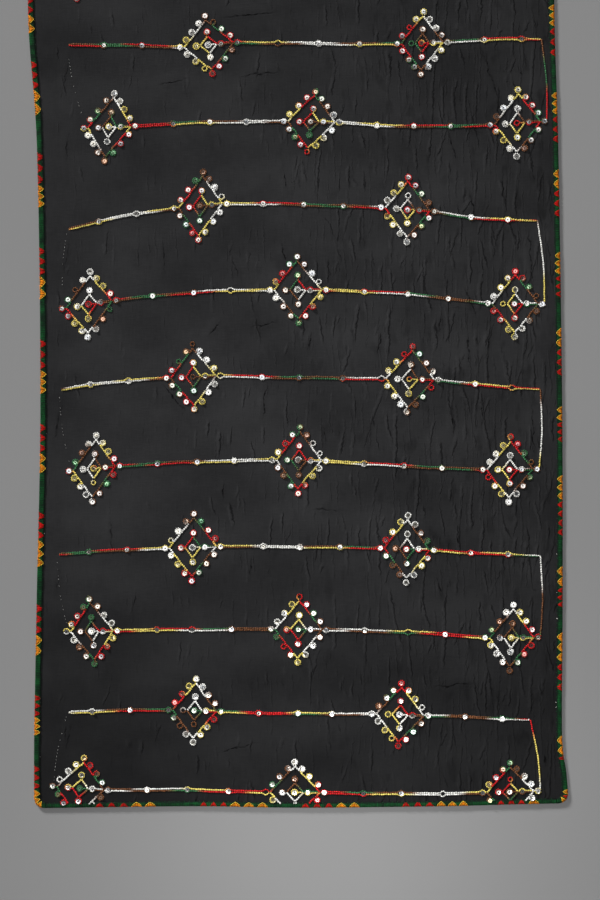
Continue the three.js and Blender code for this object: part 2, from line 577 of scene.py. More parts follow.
FINE_CREASES = tuple(
    FineCrease(*row)
    for row in (
        (0.346, 1.195, 0.308, 1.305, 0.016, 0.0016),
        (0.384, 1.245, 0.372, 1.276, 0.012, 0.0010),
        (0.273, 1.100, 0.249, 1.164, 0.014, 0.0013),
        (-0.019, 1.048, -0.031, 1.104, 0.013, 0.0011),
        (0.003, 1.055, -0.006, 1.092, 0.012, 0.0009),
        (-0.247, 1.242, -0.184, 1.254, 0.013, 0.0010),
        (-0.136, 1.358, -0.028, 1.372, 0.018, 0.0013),
        (-0.110, 1.256, -0.020, 1.268, 0.014, 0.0010),
        (-0.400, 1.100, -0.399, 1.165, 0.013, 0.0008),
        (0.304, 1.006, 0.286, 1.062, 0.014, 0.0013),
        (0.350, 1.022, 0.346, 1.097, 0.013, 0.0012),
        (0.064, 0.972, 0.037, 1.019, 0.014, 0.0010),
        (-0.022, 0.920, -0.032, 0.976, 0.013, 0.0010),
        (-0.104, 0.903, -0.117, 0.950, 0.013, 0.0009),
        (-0.092, 0.827, -0.030, 0.837, 0.014, 0.0010),
        (0.012, 0.783, 0.021, 0.821, 0.013, 0.0012),
        (0.093, 0.792, 0.089, 0.825, 0.012, 0.0009),
        (0.132, 0.774, 0.141, 0.821, 0.015, 0.0014),
        (0.304, 0.834, 0.277, 0.899, 0.016, 0.0015),
        (0.316, 0.765, 0.333, 0.839, 0.017, 0.0017),
        (0.290, 0.749, 0.286, 0.821, 0.014, 0.0013),
        (0.237, 0.808, 0.244, 0.856, 0.013, 0.0011),
        (-0.160, 0.809, -0.133, 0.838, 0.014, 0.0011),
        (-0.066, 0.662, -0.056, 0.736, 0.015, 0.0014),
        (-0.193, 0.672, -0.238, 0.727, 0.015, 0.0013),
        (0.046, 0.621, 0.038, 0.658, 0.012, 0.0009),
        (0.264, 0.628, 0.260, 0.702, 0.014, 0.0013),
        (0.312, 0.646, 0.312, 0.710, 0.013, 0.0011),
        (-0.134, 0.526, -0.130, 0.564, 0.013, 0.0011),
        (-0.322, 0.449, -0.327, 0.504, 0.013, 0.0009),
        (0.273, 0.440, 0.269, 0.496, 0.014, 0.0013),
        (0.018, 0.518, 0.082, 0.511, 0.013, 0.0009),
        (-0.087, 0.389, -0.082, 0.436, 0.013, 0.0010),
        (-0.284, 0.337, -0.279, 0.376, 0.012, 0.0009),
        (0.244, 0.354, 0.235, 0.402, 0.013, 0.0011),
        (0.224, 0.210, 0.314, 0.220, 0.015, 0.0012),
        (-0.144, 0.098, -0.063, 0.118, 0.014, 0.0012),
        (0.423, 0.063, 0.415, 0.101, 0.013, 0.0011),
        (0.398, 0.880, 0.391, 1.000, 0.016, 0.0014),
        (0.402, 0.590, 0.397, 0.700, 0.015, 0.0012),
        (-0.230, 0.905, -0.236, 0.985, 0.012, 0.0008),
        (0.180, 0.655, 0.172, 0.702, 0.012, 0.0008),
        (-0.404, 0.085, -0.392, 0.156, 0.018, 0.0007),
        (-0.421, 0.352, -0.411, 0.428, 0.018, 0.0006),
        (-0.427, 0.610, -0.406, 0.708, 0.018, 0.0008),
        (-0.410, 0.900, -0.394, 0.984, 0.018, 0.0006),
        (-0.411, 1.216, -0.394, 1.300, 0.018, 0.0007),
    )
)


@dataclass(frozen=True)
class FarCreases:
    """Narrow creases like the near ones, scattered over the far part of the cloth.

    Attributes:
        reach: How far they go from the middle.
        steep: The least and the most that they rise, as a share of their width.
    """

    count: int = 26
    seed: int = 41
    start: float = 1.42
    stop: float = 2.12
    reach: float = 0.40
    length: tuple[float, float] = (0.035, 0.095)
    lean: float = 0.28
    width: tuple[float, float] = (0.012, 0.017)
    steep: tuple[float, float] = (0.07, 0.10)

    def draw(self) -> tuple[FineCrease, ...]:
        """Draw the creases.

        Returns:
            The creases, most of them close to lengthwise.
        """
        chance = np.random.default_rng(self.seed)
        creases = []
        for _ in range(self.count):
            across = self.reach * chance.uniform(-1, 1)
            along = chance.uniform(self.start, self.stop)
            length = chance.uniform(*self.length)
            lean = length * chance.normal(0, self.lean)
            width = chance.uniform(*self.width)
            lift = width * chance.uniform(*self.steep)
            creases.append(FineCrease(across, along, across + lean, along + length, width, lift))
        return tuple(creases)


# Finishes.


class Fade(NamedTuple):
    """A smooth change from a value at low to another at high."""

    low: float
    high: float
    start: float = 0.0
    stop: float = 1.0


class Grain(NamedTuple):
    """A stretched noise: its fineness per metre along each axis, its turn about Z and its detail."""

    fineness: tuple[float, float, float]
    turn: float = 0.0
    detail: float = 2.0


class ShaderBench:
    """A material's node tree, with short calls that add nodes and link them."""

    def __init__(self, name: str) -> None:
        """Make an empty material with one Principled shader.

        Args:
            name: The material's name.
        """
        self.material = bpy.data.materials.new(name)
        self.material.use_nodes = True
        self.tree = self.material.node_tree
        self.surface = self.tree.nodes["Principled BSDF"]
        self.place = self.node("ShaderNodeTexCoord").outputs["Object"]

    def node(self, kind: str, **settings: object) -> bpy.types.Node:
        """Add a node and set its properties.

        Args:
            kind: Its type.
            **settings: Its properties.

        Returns:
            The node.
        """
        made = self.tree.nodes.new(kind)
        for key, value in settings.items():
            setattr(made, key, value)
        return made

    def feed(self, socket: Socket, value: object) -> None:
        """Link a socket to an output, or set it to a plain value.

        Args:
            socket: The socket.
            value: Another node's output, or a number, a colour or a vector.
        """
        if isinstance(value, Socket):
            self.tree.links.new(value, socket)
        else:
            socket.default_value = value

    def scaled(self, scale: tuple, turn: float) -> Socket:
        """Stretch the place on the object and turn it about Z.

        Args:
            scale: The factor along each axis.
            turn: How far it is turned, in radians.

        Returns:
            The new place.
        """
        mapping = self.node("ShaderNodeMapping")
        self.feed(mapping.inputs["Scale"], scale)
        self.feed(mapping.inputs["Rotation"], (0, 0, turn))
        self.feed(mapping.inputs["Vector"], self.place)
        return mapping.outputs["Vector"]

    def axes(self, vector: Socket) -> tuple[Socket, Socket]:
        """Read a place's distance across and its distance along.

        Args:
            vector: The place.

        Returns:
            The two distances.
        """
        parts = self.node("ShaderNodeSeparateXYZ")
        self.feed(parts.inputs[0], vector)
        return parts.outputs["X"], parts.outputs["Y"]

    def noise(self, fineness: float, detail: float, vector: Socket | None = None) -> Socket:
        """Add soft noise around a middle of 0.5.

        Args:
            fineness: How fine it is, per metre.
            detail: How many finer noises are added to it.
            vector: Where it is read, where that isn't the place on the object.

        Returns:
            The noise.
        """
        made = self.node("ShaderNodeTexNoise")
        self.feed(made.inputs["Vector"], self.place if vector is None else vector)
        self.feed(made.inputs["Scale"], fineness)
        self.feed(made.inputs["Detail"], detail)
        return made.outputs["Fac"]

    def grain(self, grain: Grain) -> Socket:
        """Add a stretched noise."""
        return self.noise(1.0, grain.detail, self.scaled(grain.fineness, grain.turn))

    def sums(self, operation: str, *values: object) -> Socket:
        """Work a sum on one to three numbers.

        Args:
            operation: The kind of sum.
            *values: The numbers.

        Returns:
            The result.
        """
        made = self.node("ShaderNodeMath", operation=operation)
        for socket, value in zip(made.inputs, values):
            self.feed(socket, value)
        return made.outputs[0]

    def times(self, value: object, factor: object) -> Socket:
        """Multiply two numbers."""
        return self.sums("MULTIPLY", value, factor)

    def joined(self, value: object, factor: object, base: object) -> Socket:
        """Multiply two numbers and add the result to a third."""
        return self.sums("MULTIPLY_ADD", value, factor, base)

    def highest(self, values: list[Socket]) -> Socket:
        """Take the highest of several numbers."""
        return reduce(lambda best, value: self.sums("MAXIMUM", best, value), values)

    def faded(self, value: object, fade: Fade) -> Socket:
        """Change a number smoothly.

        Args:
            value: The number.
            fade: How it changes.

        Returns:
            The result.
        """
        made = self.node("ShaderNodeMapRange", interpolation_type="SMOOTHSTEP")
        for key, number in zip(("Value", "From Min", "From Max", "To Min", "To Max"), (value, *fade)):
            self.feed(made.inputs[key], number)
        return made.outputs["Result"]

    def mixed(self, share: object, first: object, second: object, blend: str = "MIX") -> Socket:
        """Mix two colours.

        Args:
            share: How much of the second there is.
            first: The first colour.
            second: The second colour.
            blend: How they are mixed.

        Returns:
            The mixed colour.
        """
        made = self.node("ShaderNodeMix", data_type="RGBA", blend_type=blend)
        self.feed(made.inputs[0], share)
        for socket, colour in ((made.inputs[6], first), (made.inputs[7], second)):
            self.feed(socket, (*colour, 1.0) if isinstance(colour, tuple) else colour)
        return made.outputs[2]

    def stored(self, name: str, output: str = "Fac") -> Socket:
        """Read an attribute of the mesh."""
        return self.node("ShaderNodeAttribute", attribute_name=name).outputs[output]

    def relief(self, height: Socket, depth: float) -> None:
        """Give the surface a bump.

        Args:
            height: The bump's height, from 0 to 1.
            depth: What a height of 1 is in metres.
        """
        made = self.node("ShaderNodeBump")
        self.feed(made.inputs["Strength"], 1.0)
        self.feed(made.inputs["Distance"], depth)
        self.feed(made.inputs["Height"], height)
        self.feed(self.surface.inputs["Normal"], made.outputs["Normal"])

    def finish(self, **values: object) -> Material:
        """Set the shader's own sockets.

        Args:
            **values: The value of each, by its name with underscores for spaces.

        Returns:
            The material.
        """
        for key, value in values.items():
            self.feed(self.surface.inputs[key.replace("_", " ")], value)
        return self.material


class CrinkleFamily(NamedTuple):
    """One set of fine crinkles that run roughly side by side.

    Attributes:
        turn: How far they lean from lengthwise, in radians.
        spacing: The distance between neighbours.
        bend: How far they wander in broad bends.
        waver: The fineness of their small wavers, per metre.
        patch: The size of the patches that have them, per metre along each axis.
        bar: How rare those patches are.
        depth: How dark the painted shade along the lines is.
        fold: How far the painted highlight on the lit flank lies beside each line.
    """

    turn: float
    spacing: float
    bend: float
    waver: float
    patch: tuple[float, float, float]
    bar: float
    depth: float
    fold: float


@dataclass(frozen=True)
class ChiffonFinish:
    """Black crepe chiffon: crinkled and matt, and darker where it lies doubled.

    Clouds and the threads along and across make the tone of the plain cloth. Painted shade in its small
    hollows, the doubled strip, and painted light that falls off away from a bright line and towards both ends
    make it darker. Each family of crinkles adds painted shade along dark cores with a painted highlight on
    the lit flank, and each listed crease painted shade at its foot. Heights are shares of the relief, in
    metres.
    """

    deep: Colour = screen_colour(33, 33, 34)
    pale: Colour = screen_colour(49, 49, 50)
    # Painted shade along the crinkle cores and at the foot of each crease.
    crease_shade: Colour = screen_colour(2, 2, 3)
    # Painted highlight on the lit flank beside each crinkle, and how much of it there is.
    folded: Colour = screen_colour(62, 62, 63)
    lit_flank_share: float = 0.22
    doubled_share: float = 0.12
    cloud: Grain = Grain((5.5, 8.8, 5.5), 0.25, 3.0)
    streak: Grain = Grain((430.0, 40.0, 1.0))
    cross: Grain = Grain((60.0, 480.0, 1.0), 0.0, 1.0)
    cloud_tone: tuple[float, float] = (0.95, -0.23)
    thread_tone: float = 0.22
    tones: Fade = Fade(0.15, 0.80)
    streak_height: float = 0.18
    cross_height: float = 0.16
    fold_height: float = 0.45
    line_depth: float = 0.7
    relief: float = 0.0008
    flat_relief: float = 0.0004
    # Painted shade in small hollows: where they are and how dark, deeper towards the right.
    hollow_shade: Grain = Grain((52.0, 21.0, 1.0), 0.12)
    hollow_shade_bounds: Fade = Fade(0.45, 0.30)
    hollow_shade_depth: Fade = Fade(-0.30, 0.35, 0.06, 0.26)
    # Painted light: the cloth is darker towards the near end, towards the far end, and away from a bright
    # line across.
    near_light: Fade = Fade(-1.15, -0.50, 0.50, 1.0)
    far_light: Fade = Fade(-0.25, 0.22, 1.0, 0.86)
    bright_line: float = 0.08
    side_light: Fade = Fade(0.10, 0.44, 1.03, 0.90)
    families: tuple[CrinkleFamily, ...] = (
        CrinkleFamily(0.04, 0.019, 0.030, 120.0, (36.0, 13.0, 1.0), 0.565, 0.62, 0.0034),
        CrinkleFamily(-0.20, 0.027, 0.030, 140.0, (28.0, 12.0, 1.3), 0.590, 0.58, 0.0034),
        CrinkleFamily(0.32, 0.036, 0.034, 130.0, (30.0, 13.0, 1.7), 0.600, 0.50, 0.0034),
        CrinkleFamily(-0.03, 0.0115, 0.026, 150.0, (46.0, 18.0, 2.1), 0.550, 0.24, 0.0020),
    )
    sideways: Fade = Fade(-0.42, 0.36, -0.065, 0.072)
    wander: Grain = Grain((16.0, 8.0, 1.0), 0.0, 4.0)
    fine_detail: float = 4.0
    fine_reach: float = 0.0065
    patch_edge: float = 0.10
    core: tuple[float, float] = (0.0003, 0.0016)
    flank: tuple[float, float, float] = (0.0004, 1.18, 1.6)
    # The painted shade at the foot of each crease: its waver, its width, the gaps that break it, and how its
    # strength is read.
    shadow_waver: tuple[float, float] = (60.0, 0.014)
    shadow_width: Fade = Fade(0.0003, 0.0019, 1.0, 0.0)
    wear_and_shadow_gaps: Fade = Fade(0.34, 0.62, 0.25, 0.92)
    shadow_gap_fineness: float = 130.0
    held: Fade = Fade(0.02, 0.85)

    def material(self, name: str, doubled: bool = False) -> Material:
        """Build the finish.

        Args:
            name: The material's name.
            doubled: True for the turned-in edge, which has no crinkles of its own.

        Returns:
            The material.
        """
        bench = ShaderBench(name)
        streak, cross = bench.grain(self.streak), bench.grain(self.cross)
        tone = bench.joined(bench.grain(self.cloud), *self.cloud_tone)
        for threads in (streak, cross):
            tone = bench.joined(threads, self.thread_tone, tone)
        height = bench.joined(cross, self.cross_height, bench.times(streak, self.streak_height))
        colour = bench.mixed(bench.faded(tone, self.tones), self.deep, self.pale)
        if doubled:
            bench.relief(height, self.flat_relief)
            return bench.finish(Base_Color=colour, **self._matt())
        across, along = bench.axes(bench.place)
        # Painted shade along the crinkles and at the foot of each crease, and a painted highlight on each
        # crinkle's lit flank; both also shape the bump.
        crinkles, lit_flanks = self._crinkles(bench, across)
        lines = bench.highest([crinkles, self._crease_shadows(bench)])
        colour = bench.mixed(bench.times(lit_flanks, self.lit_flank_share), colour, self.folded)
        colour = bench.mixed(lines, colour, self.crease_shade)
        # Painted light and shade by place, painted shade in the hollows and the darker doubled strip scale
        # the colour.
        toned = bench.node("ShaderNodeHueSaturation")
        bench.feed(toned.inputs["Value"], self._light(bench, across, along))
        bench.feed(toned.inputs["Color"], colour)
        height = bench.joined(lit_flanks, self.fold_height, height)
        bench.relief(bench.joined(lines, -self.line_depth, height), self.relief)
        return bench.finish(Base_Color=toned.outputs["Color"], **self._matt())

    def _matt(self) -> dict[str, float]:
        """List the shader's plain values."""
        return {"Roughness": 0.85, "Specular_IOR_Level": 0.05}

    def _light(self, bench: ShaderBench, across: Socket, along: Socket) -> Socket:
        """Work out how bright the cloth is: darker on its doubled strip, with painted shade in its small
        hollows and painted light that falls off away from a bright line across and towards both ends along.

        Args:
            bench: The material's bench.
            across: The distance across.
            along: The distance along.

        Returns:
            The brightness, about 1.
        """
        single = bench.joined(bench.stored("doubled"), -self.doubled_share, 1.0)
        # Painted shade in the small hollows, deeper towards the right.
        hollow_shade = bench.faded(bench.grain(self.hollow_shade), self.hollow_shade_bounds)
        hollow_shading = bench.times(hollow_shade, bench.faded(across, self.hollow_shade_depth))
        light = bench.sums("SUBTRACT", single, hollow_shading)
        # Painted light: darker away from a bright line across and towards both ends along.
        aside = bench.sums("ABSOLUTE", bench.sums("ADD", across, self.bright_line))
        falls = ((aside, self.side_light), (along, self.near_light), (along, self.far_light))
        for distance, fall in falls:
            light = bench.times(light, bench.faded(distance, fall))
        return light

    def _crinkles(self, bench: ShaderBench, across: Socket) -> tuple[Socket, Socket]:
        """Draw the many small crinkles: thin, wandering and mostly lengthwise, thicker on the right.

        Args:
            bench: The material's bench.
            across: The distance across.

        Returns:
            The painted shade along their lines, and the painted highlight on the lit flank beside each.
        """
        more = bench.faded(across, self.sideways)
        wander = bench.grain(self.wander)
        start, reach, strength = self.flank
        lines, lit_flanks = [], []
        for family in self.families:
            count = bench.times(bench.axes(bench.scaled((1.0, 1.0, 1.0), family.turn))[0], 1 / family.spacing)
            count = bench.joined(wander, family.bend / family.spacing, count)
            fine = bench.noise(family.waver, self.fine_detail)
            count = bench.joined(fine, self.fine_reach / family.spacing, count)
            off = bench.times(bench.sums("WRAP", count, 0.5, -0.5), family.spacing)
            where = bench.sums("ADD", bench.grain(Grain(family.patch, family.turn)), more)
            gate = bench.faded(where, Fade(family.bar, family.bar + self.patch_edge))
            # Painted shade along the core of the line.
            line = bench.faded(bench.sums("ABSOLUTE", off), Fade(*self.core, family.depth, 0.0))
            # Painted highlight on the flank towards the light, to the left of the line.
            beside = bench.sums("ABSOLUTE", bench.sums("ADD", off, family.fold))
            flank = Fade(start, family.fold * reach, min(1.0, family.depth * strength), 0.0)
            lines.append(bench.times(line, gate))
            lit_flanks.append(bench.times(bench.faded(beside, flank), gate))
        return bench.highest(lines), bench.highest(lit_flanks)

    def _crease_shadows(self, bench: ShaderBench) -> Socket:
        """Draw the painted shade at the foot of each listed crease, broken and wavering.

        Args:
            bench: The material's bench.

        Returns:
            How dark the painted shade is.
        """
        fineness, reach = self.shadow_waver
        waver = bench.joined(bench.noise(fineness, 3.0), reach, -reach / 2)
        off = bench.sums("ABSOLUTE", bench.sums("ADD", bench.stored("crease_side"), waver))
        # Noise that breaks the painted shade into pieces.
        wear_and_shadow_gaps = bench.faded(bench.noise(self.shadow_gap_fineness, 1.0), self.wear_and_shadow_gaps)
        line = bench.times(bench.faded(off, self.shadow_width), wear_and_shadow_gaps)
        return bench.times(line, bench.faded(bench.stored("crease_shadow_strength"), self.held))


@dataclass(frozen=True)
class ThreadFinish:
    """Silky embroidery thread that takes its colour from each stitch, with painted shade between its plies.
    """

    gloss: float = 0.22
    roughness: float = 0.50
    ply: float = 1900.0
    ply_height: float = 0.00025
    # How much painted shade falls between the plies, and its colour.
    between: Fade = Fade(0.3, 0.7, 0.24, 0.0)
    shade: Colour = (0.02, 0.02, 0.02)

    def material(self, name: str) -> Material:
        """Build the finish.

        Args:
            name: The material's name.

        Returns:
            The material.
        """
        bench = ShaderBench(name)
        ply = bench.noise(self.ply, 1.0)
        # Painted shade between the plies, by the ply noise.
        colour = bench.mixed(bench.faded(ply, self.between), bench.stored(THREAD_COLOUR, "Color"), self.shade)
        bench.relief(ply, self.ply_height)
        return bench.finish(Base_Color=colour, Roughness=self.roughness, Specular_IOR_Level=self.gloss)


@dataclass(frozen=True)
class SequinFinish:
    """Polished silver sequins with faint scratches and dents, duller and rougher where they are scratched."""

    silver: Colour = (0.52, 0.51, 0.49)
    dull: Colour = (0.29, 0.29, 0.30)
    scratch: Grain = Grain((900.0, 2600.0, 1.0), 0.5)
    wear_and_shadow_gaps: Fade = Fade(0.35, 0.75)
    rough: Fade = Fade(0.3, 0.7, 0.16, 0.31)
    dent: float = 330.0
    scratch_height: float = 0.06
    relief: float = 0.00045
    metallic: float = 0.82

    def material(self, name: str) -> Material:
        """Build the finish, tinted by each sequin's own colour and a painted reflection of the thread round
        it.

        Args:
            name: The material's name.

        Returns:
            The material.
        """
        bench = ShaderBench(name)
        scratch = bench.grain(self.scratch)
        colour = bench.mixed(bench.faded(scratch, self.wear_and_shadow_gaps), self.silver, self.dull)
        colour = bench.mixed(1.0, colour, bench.stored(SEQUIN_TINT_AND_REFLECTION, "Color"), "MULTIPLY")
        rough = bench.faded(scratch, self.rough)
        bench.relief(bench.joined(scratch, self.scratch_height, bench.noise(self.dent, 1.0)), self.relief)
        return bench.finish(Base_Color=colour, Roughness=rough, Metallic=self.metallic)


@dataclass(frozen=True)
class BraidFinish:
    """Dark green woven braid: its threads, clouds and ribs make it brighter, and painted shade darkens its
    inner rim.
    """

    bright: Colour = screen_colour(4, 72, 29)
    deep: Colour = screen_colour(0, 20, 8)
    weave: float = 620.0
    cloud: float = 75.0
    weave_tone: float = 0.6
    cloud_tone: tuple[float, float] = (1.1, -0.55)
    rib_tone: float = 0.5
    # Painted shade along the braid's inner rim.
    rim_shade_tone: float = -0.8
    tones: Fade = Fade(0.2, 0.95)
    relief: float = 0.0005

    def material(self, name: str) -> Material:
        """Build the finish.

        Args:
            name: The material's name.

        Returns:
            The material.
        """
        bench = ShaderBench(name)
        weave = bench.noise(self.weave, 2.0)
        tone = bench.joined(bench.noise(self.cloud, 2.0), *self.cloud_tone)
        tone = bench.joined(weave, self.weave_tone, tone)
        tone = bench.joined(bench.stored("rib"), self.rib_tone, tone)
        # Painted shade darkens the inner rim.
        tone = bench.joined(bench.stored("rim_shade"), self.rim_shade_tone, tone)
        colour = bench.mixed(bench.faded(tone, self.tones), self.deep, self.bright)
        bench.relief(weave, self.relief)
        return bench.finish(Base_Color=colour, Roughness=0.72, Specular_IOR_Level=0.12)


@dataclass(frozen=True)
class FloorFinish:
    """A plain pale grey studio floor, from its tone to a slightly lighter one."""

    tone: Colour = (0.226, 0.226, 0.226)
    lighter: float = 1.04
    cloud: float = 3.0

    def material(self, name: str) -> Material:
        """Build the finish.

        Args:
            name: The material's name.

        Returns:
            The material.
        """
        bench = ShaderBench(name)
        lighter = tuple(value * self.lighter for value in self.tone)
        colour = bench.mixed(bench.noise(self.cloud, 2.0), self.tone, lighter)
        return bench.finish(Base_Color=colour, Roughness=0.9, Specular_IOR_Level=0.1)


# The cloth.


class Waft(NamedTuple):
    """A soft uneven wave of the loose cloth: a winding wave, and a share of another across it."""

    share: float
    across: float
    along: float
    wind: Ripple
    cross_across: float
    cross_along: float
    cross_phase: float

    def at(self, points: Array) -> Array:
        """Find its height at places on the plan.

        Args:
            points: The places.

        Returns:
            The height at each, up to the wave's share.
        """
        x, y = points.T
        winding = np.sin(self.across * x + self.along * y + self.wind.at(y))
        return self.share * winding * np.sin(self.cross_along * y + self.cross_across * x + self.cross_phase)


@dataclass
class ChiffonCloth:
    """The black chiffon rectangle, its soft creases and its doubled strip.

    Attributes:
        near_part: The share of the length, from the near end, that has the finer rows.
        near_rows: The share of the rows that lie there.
        inset: How far its raw edge is inside the braid's fold.
        rise: How high it lies over the braid's lower half.
        rise_start: It keeps that height this far in from the outline.
        rise_end: It is down on the surface this far in.
        crease_clear: Creases have died out this near the outline.
        crease_full: The broad ones have their whole height this far from it.
        fine_full: The same for the narrow ones.
        ridge_ends: How much of its fall a narrow crease has left for past its ends.
        foot: A narrow crease's foot is this share of its width to the side of its middle.
        foot_reach: How far its foot goes, as a share of half its length.
        nearby: A place this far to its side, or past its ends, belongs to no crease.
        deep_lift: A narrow crease this high gets the full painted shade at its foot.
        waft: How high the loose cloth floats.
    """

    plan: ClothPlan
    finish: ChiffonFinish
    wall: float = 0.0005
    columns: int = 196
    rows: int = 210
    near_part: float = 0.62
    near_rows: float = 0.74
    inset: float = 0.0018
    rise: float = 0.0013
    rise_start: float = 0.0125
    rise_end: float = 0.055
    crease_clear: float = 0.014
    crease_full: float = 0.070
    fine_full: float = 0.0308
    ridge_ends: float = 0.85
    foot: float = 0.30
    foot_reach: float = 1.2
    nearby: tuple[float, float] = (0.05, 1.25)
    deep_lift: float = 0.0015
    waft: float = 0.0007
    wafts: tuple[Waft, ...] = (
        Waft(0.30, 21, 5, Ripple(1.1, 6), -4, 9, 0.7),
        Waft(0.20, 47, -8, Ripple(1.7, 11, 2), 9, 17, 0.0),
    )
    doubled_width: float = 0.0350
    doubled_edge: float = 0.002
    doubled_ends: tuple[float, float] = (0.02, 0.08)
    fine: tuple[FineCrease, ...] = field(default_factory=lambda: (*FINE_CREASES, *FarCreases().draw()))

    def _broad_lift(self, points: Array) -> Array:
        """Find how far the highest broad crease lifts each point.

        Args:
            points: The places on the plan.

        Returns:
            The lift at each.
        """
        best = np.zeros(len(points))
        for crease in BROAD_CREASES:
            onward = unit(np.array([crease.lean, crease.length]))
            off = points - self.plan.place(crease.across, crease.along)
            down = off @ onward / (crease.length / 2)
            beside = (off[:, 0] * onward[1] - off[:, 1] * onward[0]) / (crease.width / 2)
            best = np.maximum(best, crease.lift * cosine_fall(down) * cosine_fall(beside))
        return best

    def _fine_fields(self, points: Array) -> tuple[Array, Array, Array]:
        """Work out the narrow creases.

        Args:
            points: The places on the plan.

        Returns:
            The lift at each point, its side distance from the foot of its nearest crease, and the strength of
            the painted shade at that foot, by how far it lies within that crease's length, from 0 past the
            ends to 1 in the middle, and less on low creases.
        """
        far_off, past = self.nearby
        lift, hold = np.zeros((2, len(points)))
        side = np.full(len(points), far_off)
        for crease in self.fine:
            near = self.plan.place(crease.near_across, crease.near_along)
            far = self.plan.place(crease.far_across, crease.far_along)
            whole = np.linalg.norm(far - near)
            onward = (far - near) / whole
            off = points - (near + far) / 2
            down = off @ onward / (whole / 2)
            beside = off[:, 0] * onward[1] - off[:, 1] * onward[0]
            ridge = cosine_fall(down * self.ridge_ends) * cosine_fall(beside / (crease.width / 2))
            lift += crease.lift * ridge
            foot = beside - crease.width * self.foot
            closer = (np.abs(down) < past) & (np.abs(foot) < np.abs(side))
            side = np.where(closer, foot, side)
            dark = min(1.0, crease.lift / self.deep_lift)
            hold = np.where(closer, cosine_fall(down / self.foot_reach) * dark, hold)
        return lift, side, hold

    def _doubled(self, points: Array) -> Array:
        """Find where the cloth lies over its own wide turned edge, along the right side.

        Args:
            points: The places on the plan.

        Returns:
            1 at each place where it does, 0 where it doesn't.
        """
        inside = self.plan.inside(points)
        by_end = self.plan.length / 2 - np.abs(points[:, 1])
        low, high = self.doubled_width - self.doubled_edge, self.doubled_width + self.doubled_edge
        over = 1 - smooth_step(inside, low, high)
        return over * (points[:, 0] > 0) * smooth_step(by_end, *self.doubled_ends)

    def underside(self, points: Array) -> tuple[Array, Array, Array]:
        """Find the height of the cloth's underside.

        Args:
            points: The places on the plan.

        Returns:
            The height at each, the side of the narrow creases there, and the strength of the painted shade at
            their feet.
        """
        inside = self.plan.inside(points)
        edge = self.rise * (1 - smooth_step(inside, self.rise_start, self.rise_end))
        waves = self.waft * (0.5 + sum(waft.at(points) for waft in self.wafts))
        broad = smooth_step(inside, self.crease_clear, self.crease_full) * (self._broad_lift(points) + waves)
        lift, side, hold = self._fine_fields(points)
        return edge + broad + smooth_step(inside, self.crease_clear, self.fine_full) * lift, side, hold

    def build(self) -> Piece:
        """Make the cloth, and keep its top surface for what is sewn on it.

        Returns:
            The cloth.
        """
        mesh, shares = unit_grid("chiffon_cloth", self.columns, self.rows)
        along = shares[:, 1]
        near = self.near_part * along / self.near_rows
        far = self.near_part + (1 - self.near_part) * (along - self.near_rows) / (1 - self.near_rows)
        shares[:, 1] = np.where(along < self.near_rows, near, far)
        points = self.plan.spread(shares, self.inset)
        heights, side, hold = self.underside(points)
        move_mesh(mesh, np.column_stack([points, heights]))
        # The side of the nearest crease's foot, and the strength of the painted shade there.
        paint(mesh, "crease_side", side)
        paint(mesh, "crease_shadow_strength", hold)
        paint(mesh, "doubled", self._doubled(points))
        top = np.column_stack([points, heights + self.wall])
        self._top = BVHTree.FromPolygons(top.tolist(), [tuple(face.vertices) for face in mesh.polygons])
        cloth = place_piece("chiffon_cloth", mesh, self.finish.material("black_chiffon"))
        thicken(cloth, self.wall, outward=True)
        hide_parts("chiffon_panel")
        return cloth

    def surface(self, points: Array) -> tuple[Array, Array]:
        """Find the top of the cloth.

        Args:
            points: The places on the plan.

        Returns:
            The height and the normal at each place, level ground where there is no cloth.
        """
        heights = np.zeros(len(points))
        normals = np.tile(UP, (len(points), 1))
        high, down = 0.1, -Vector(UP)
        for i, (x, y) in enumerate(points):
            hit, normal, _, _ = self._top.ray_cast(Vector((x, y, high)), down)
            if hit is not None:
                heights[i] = hit.z
                normals[i] = normal if normal.z > 0 else -normal
        return heights, normals


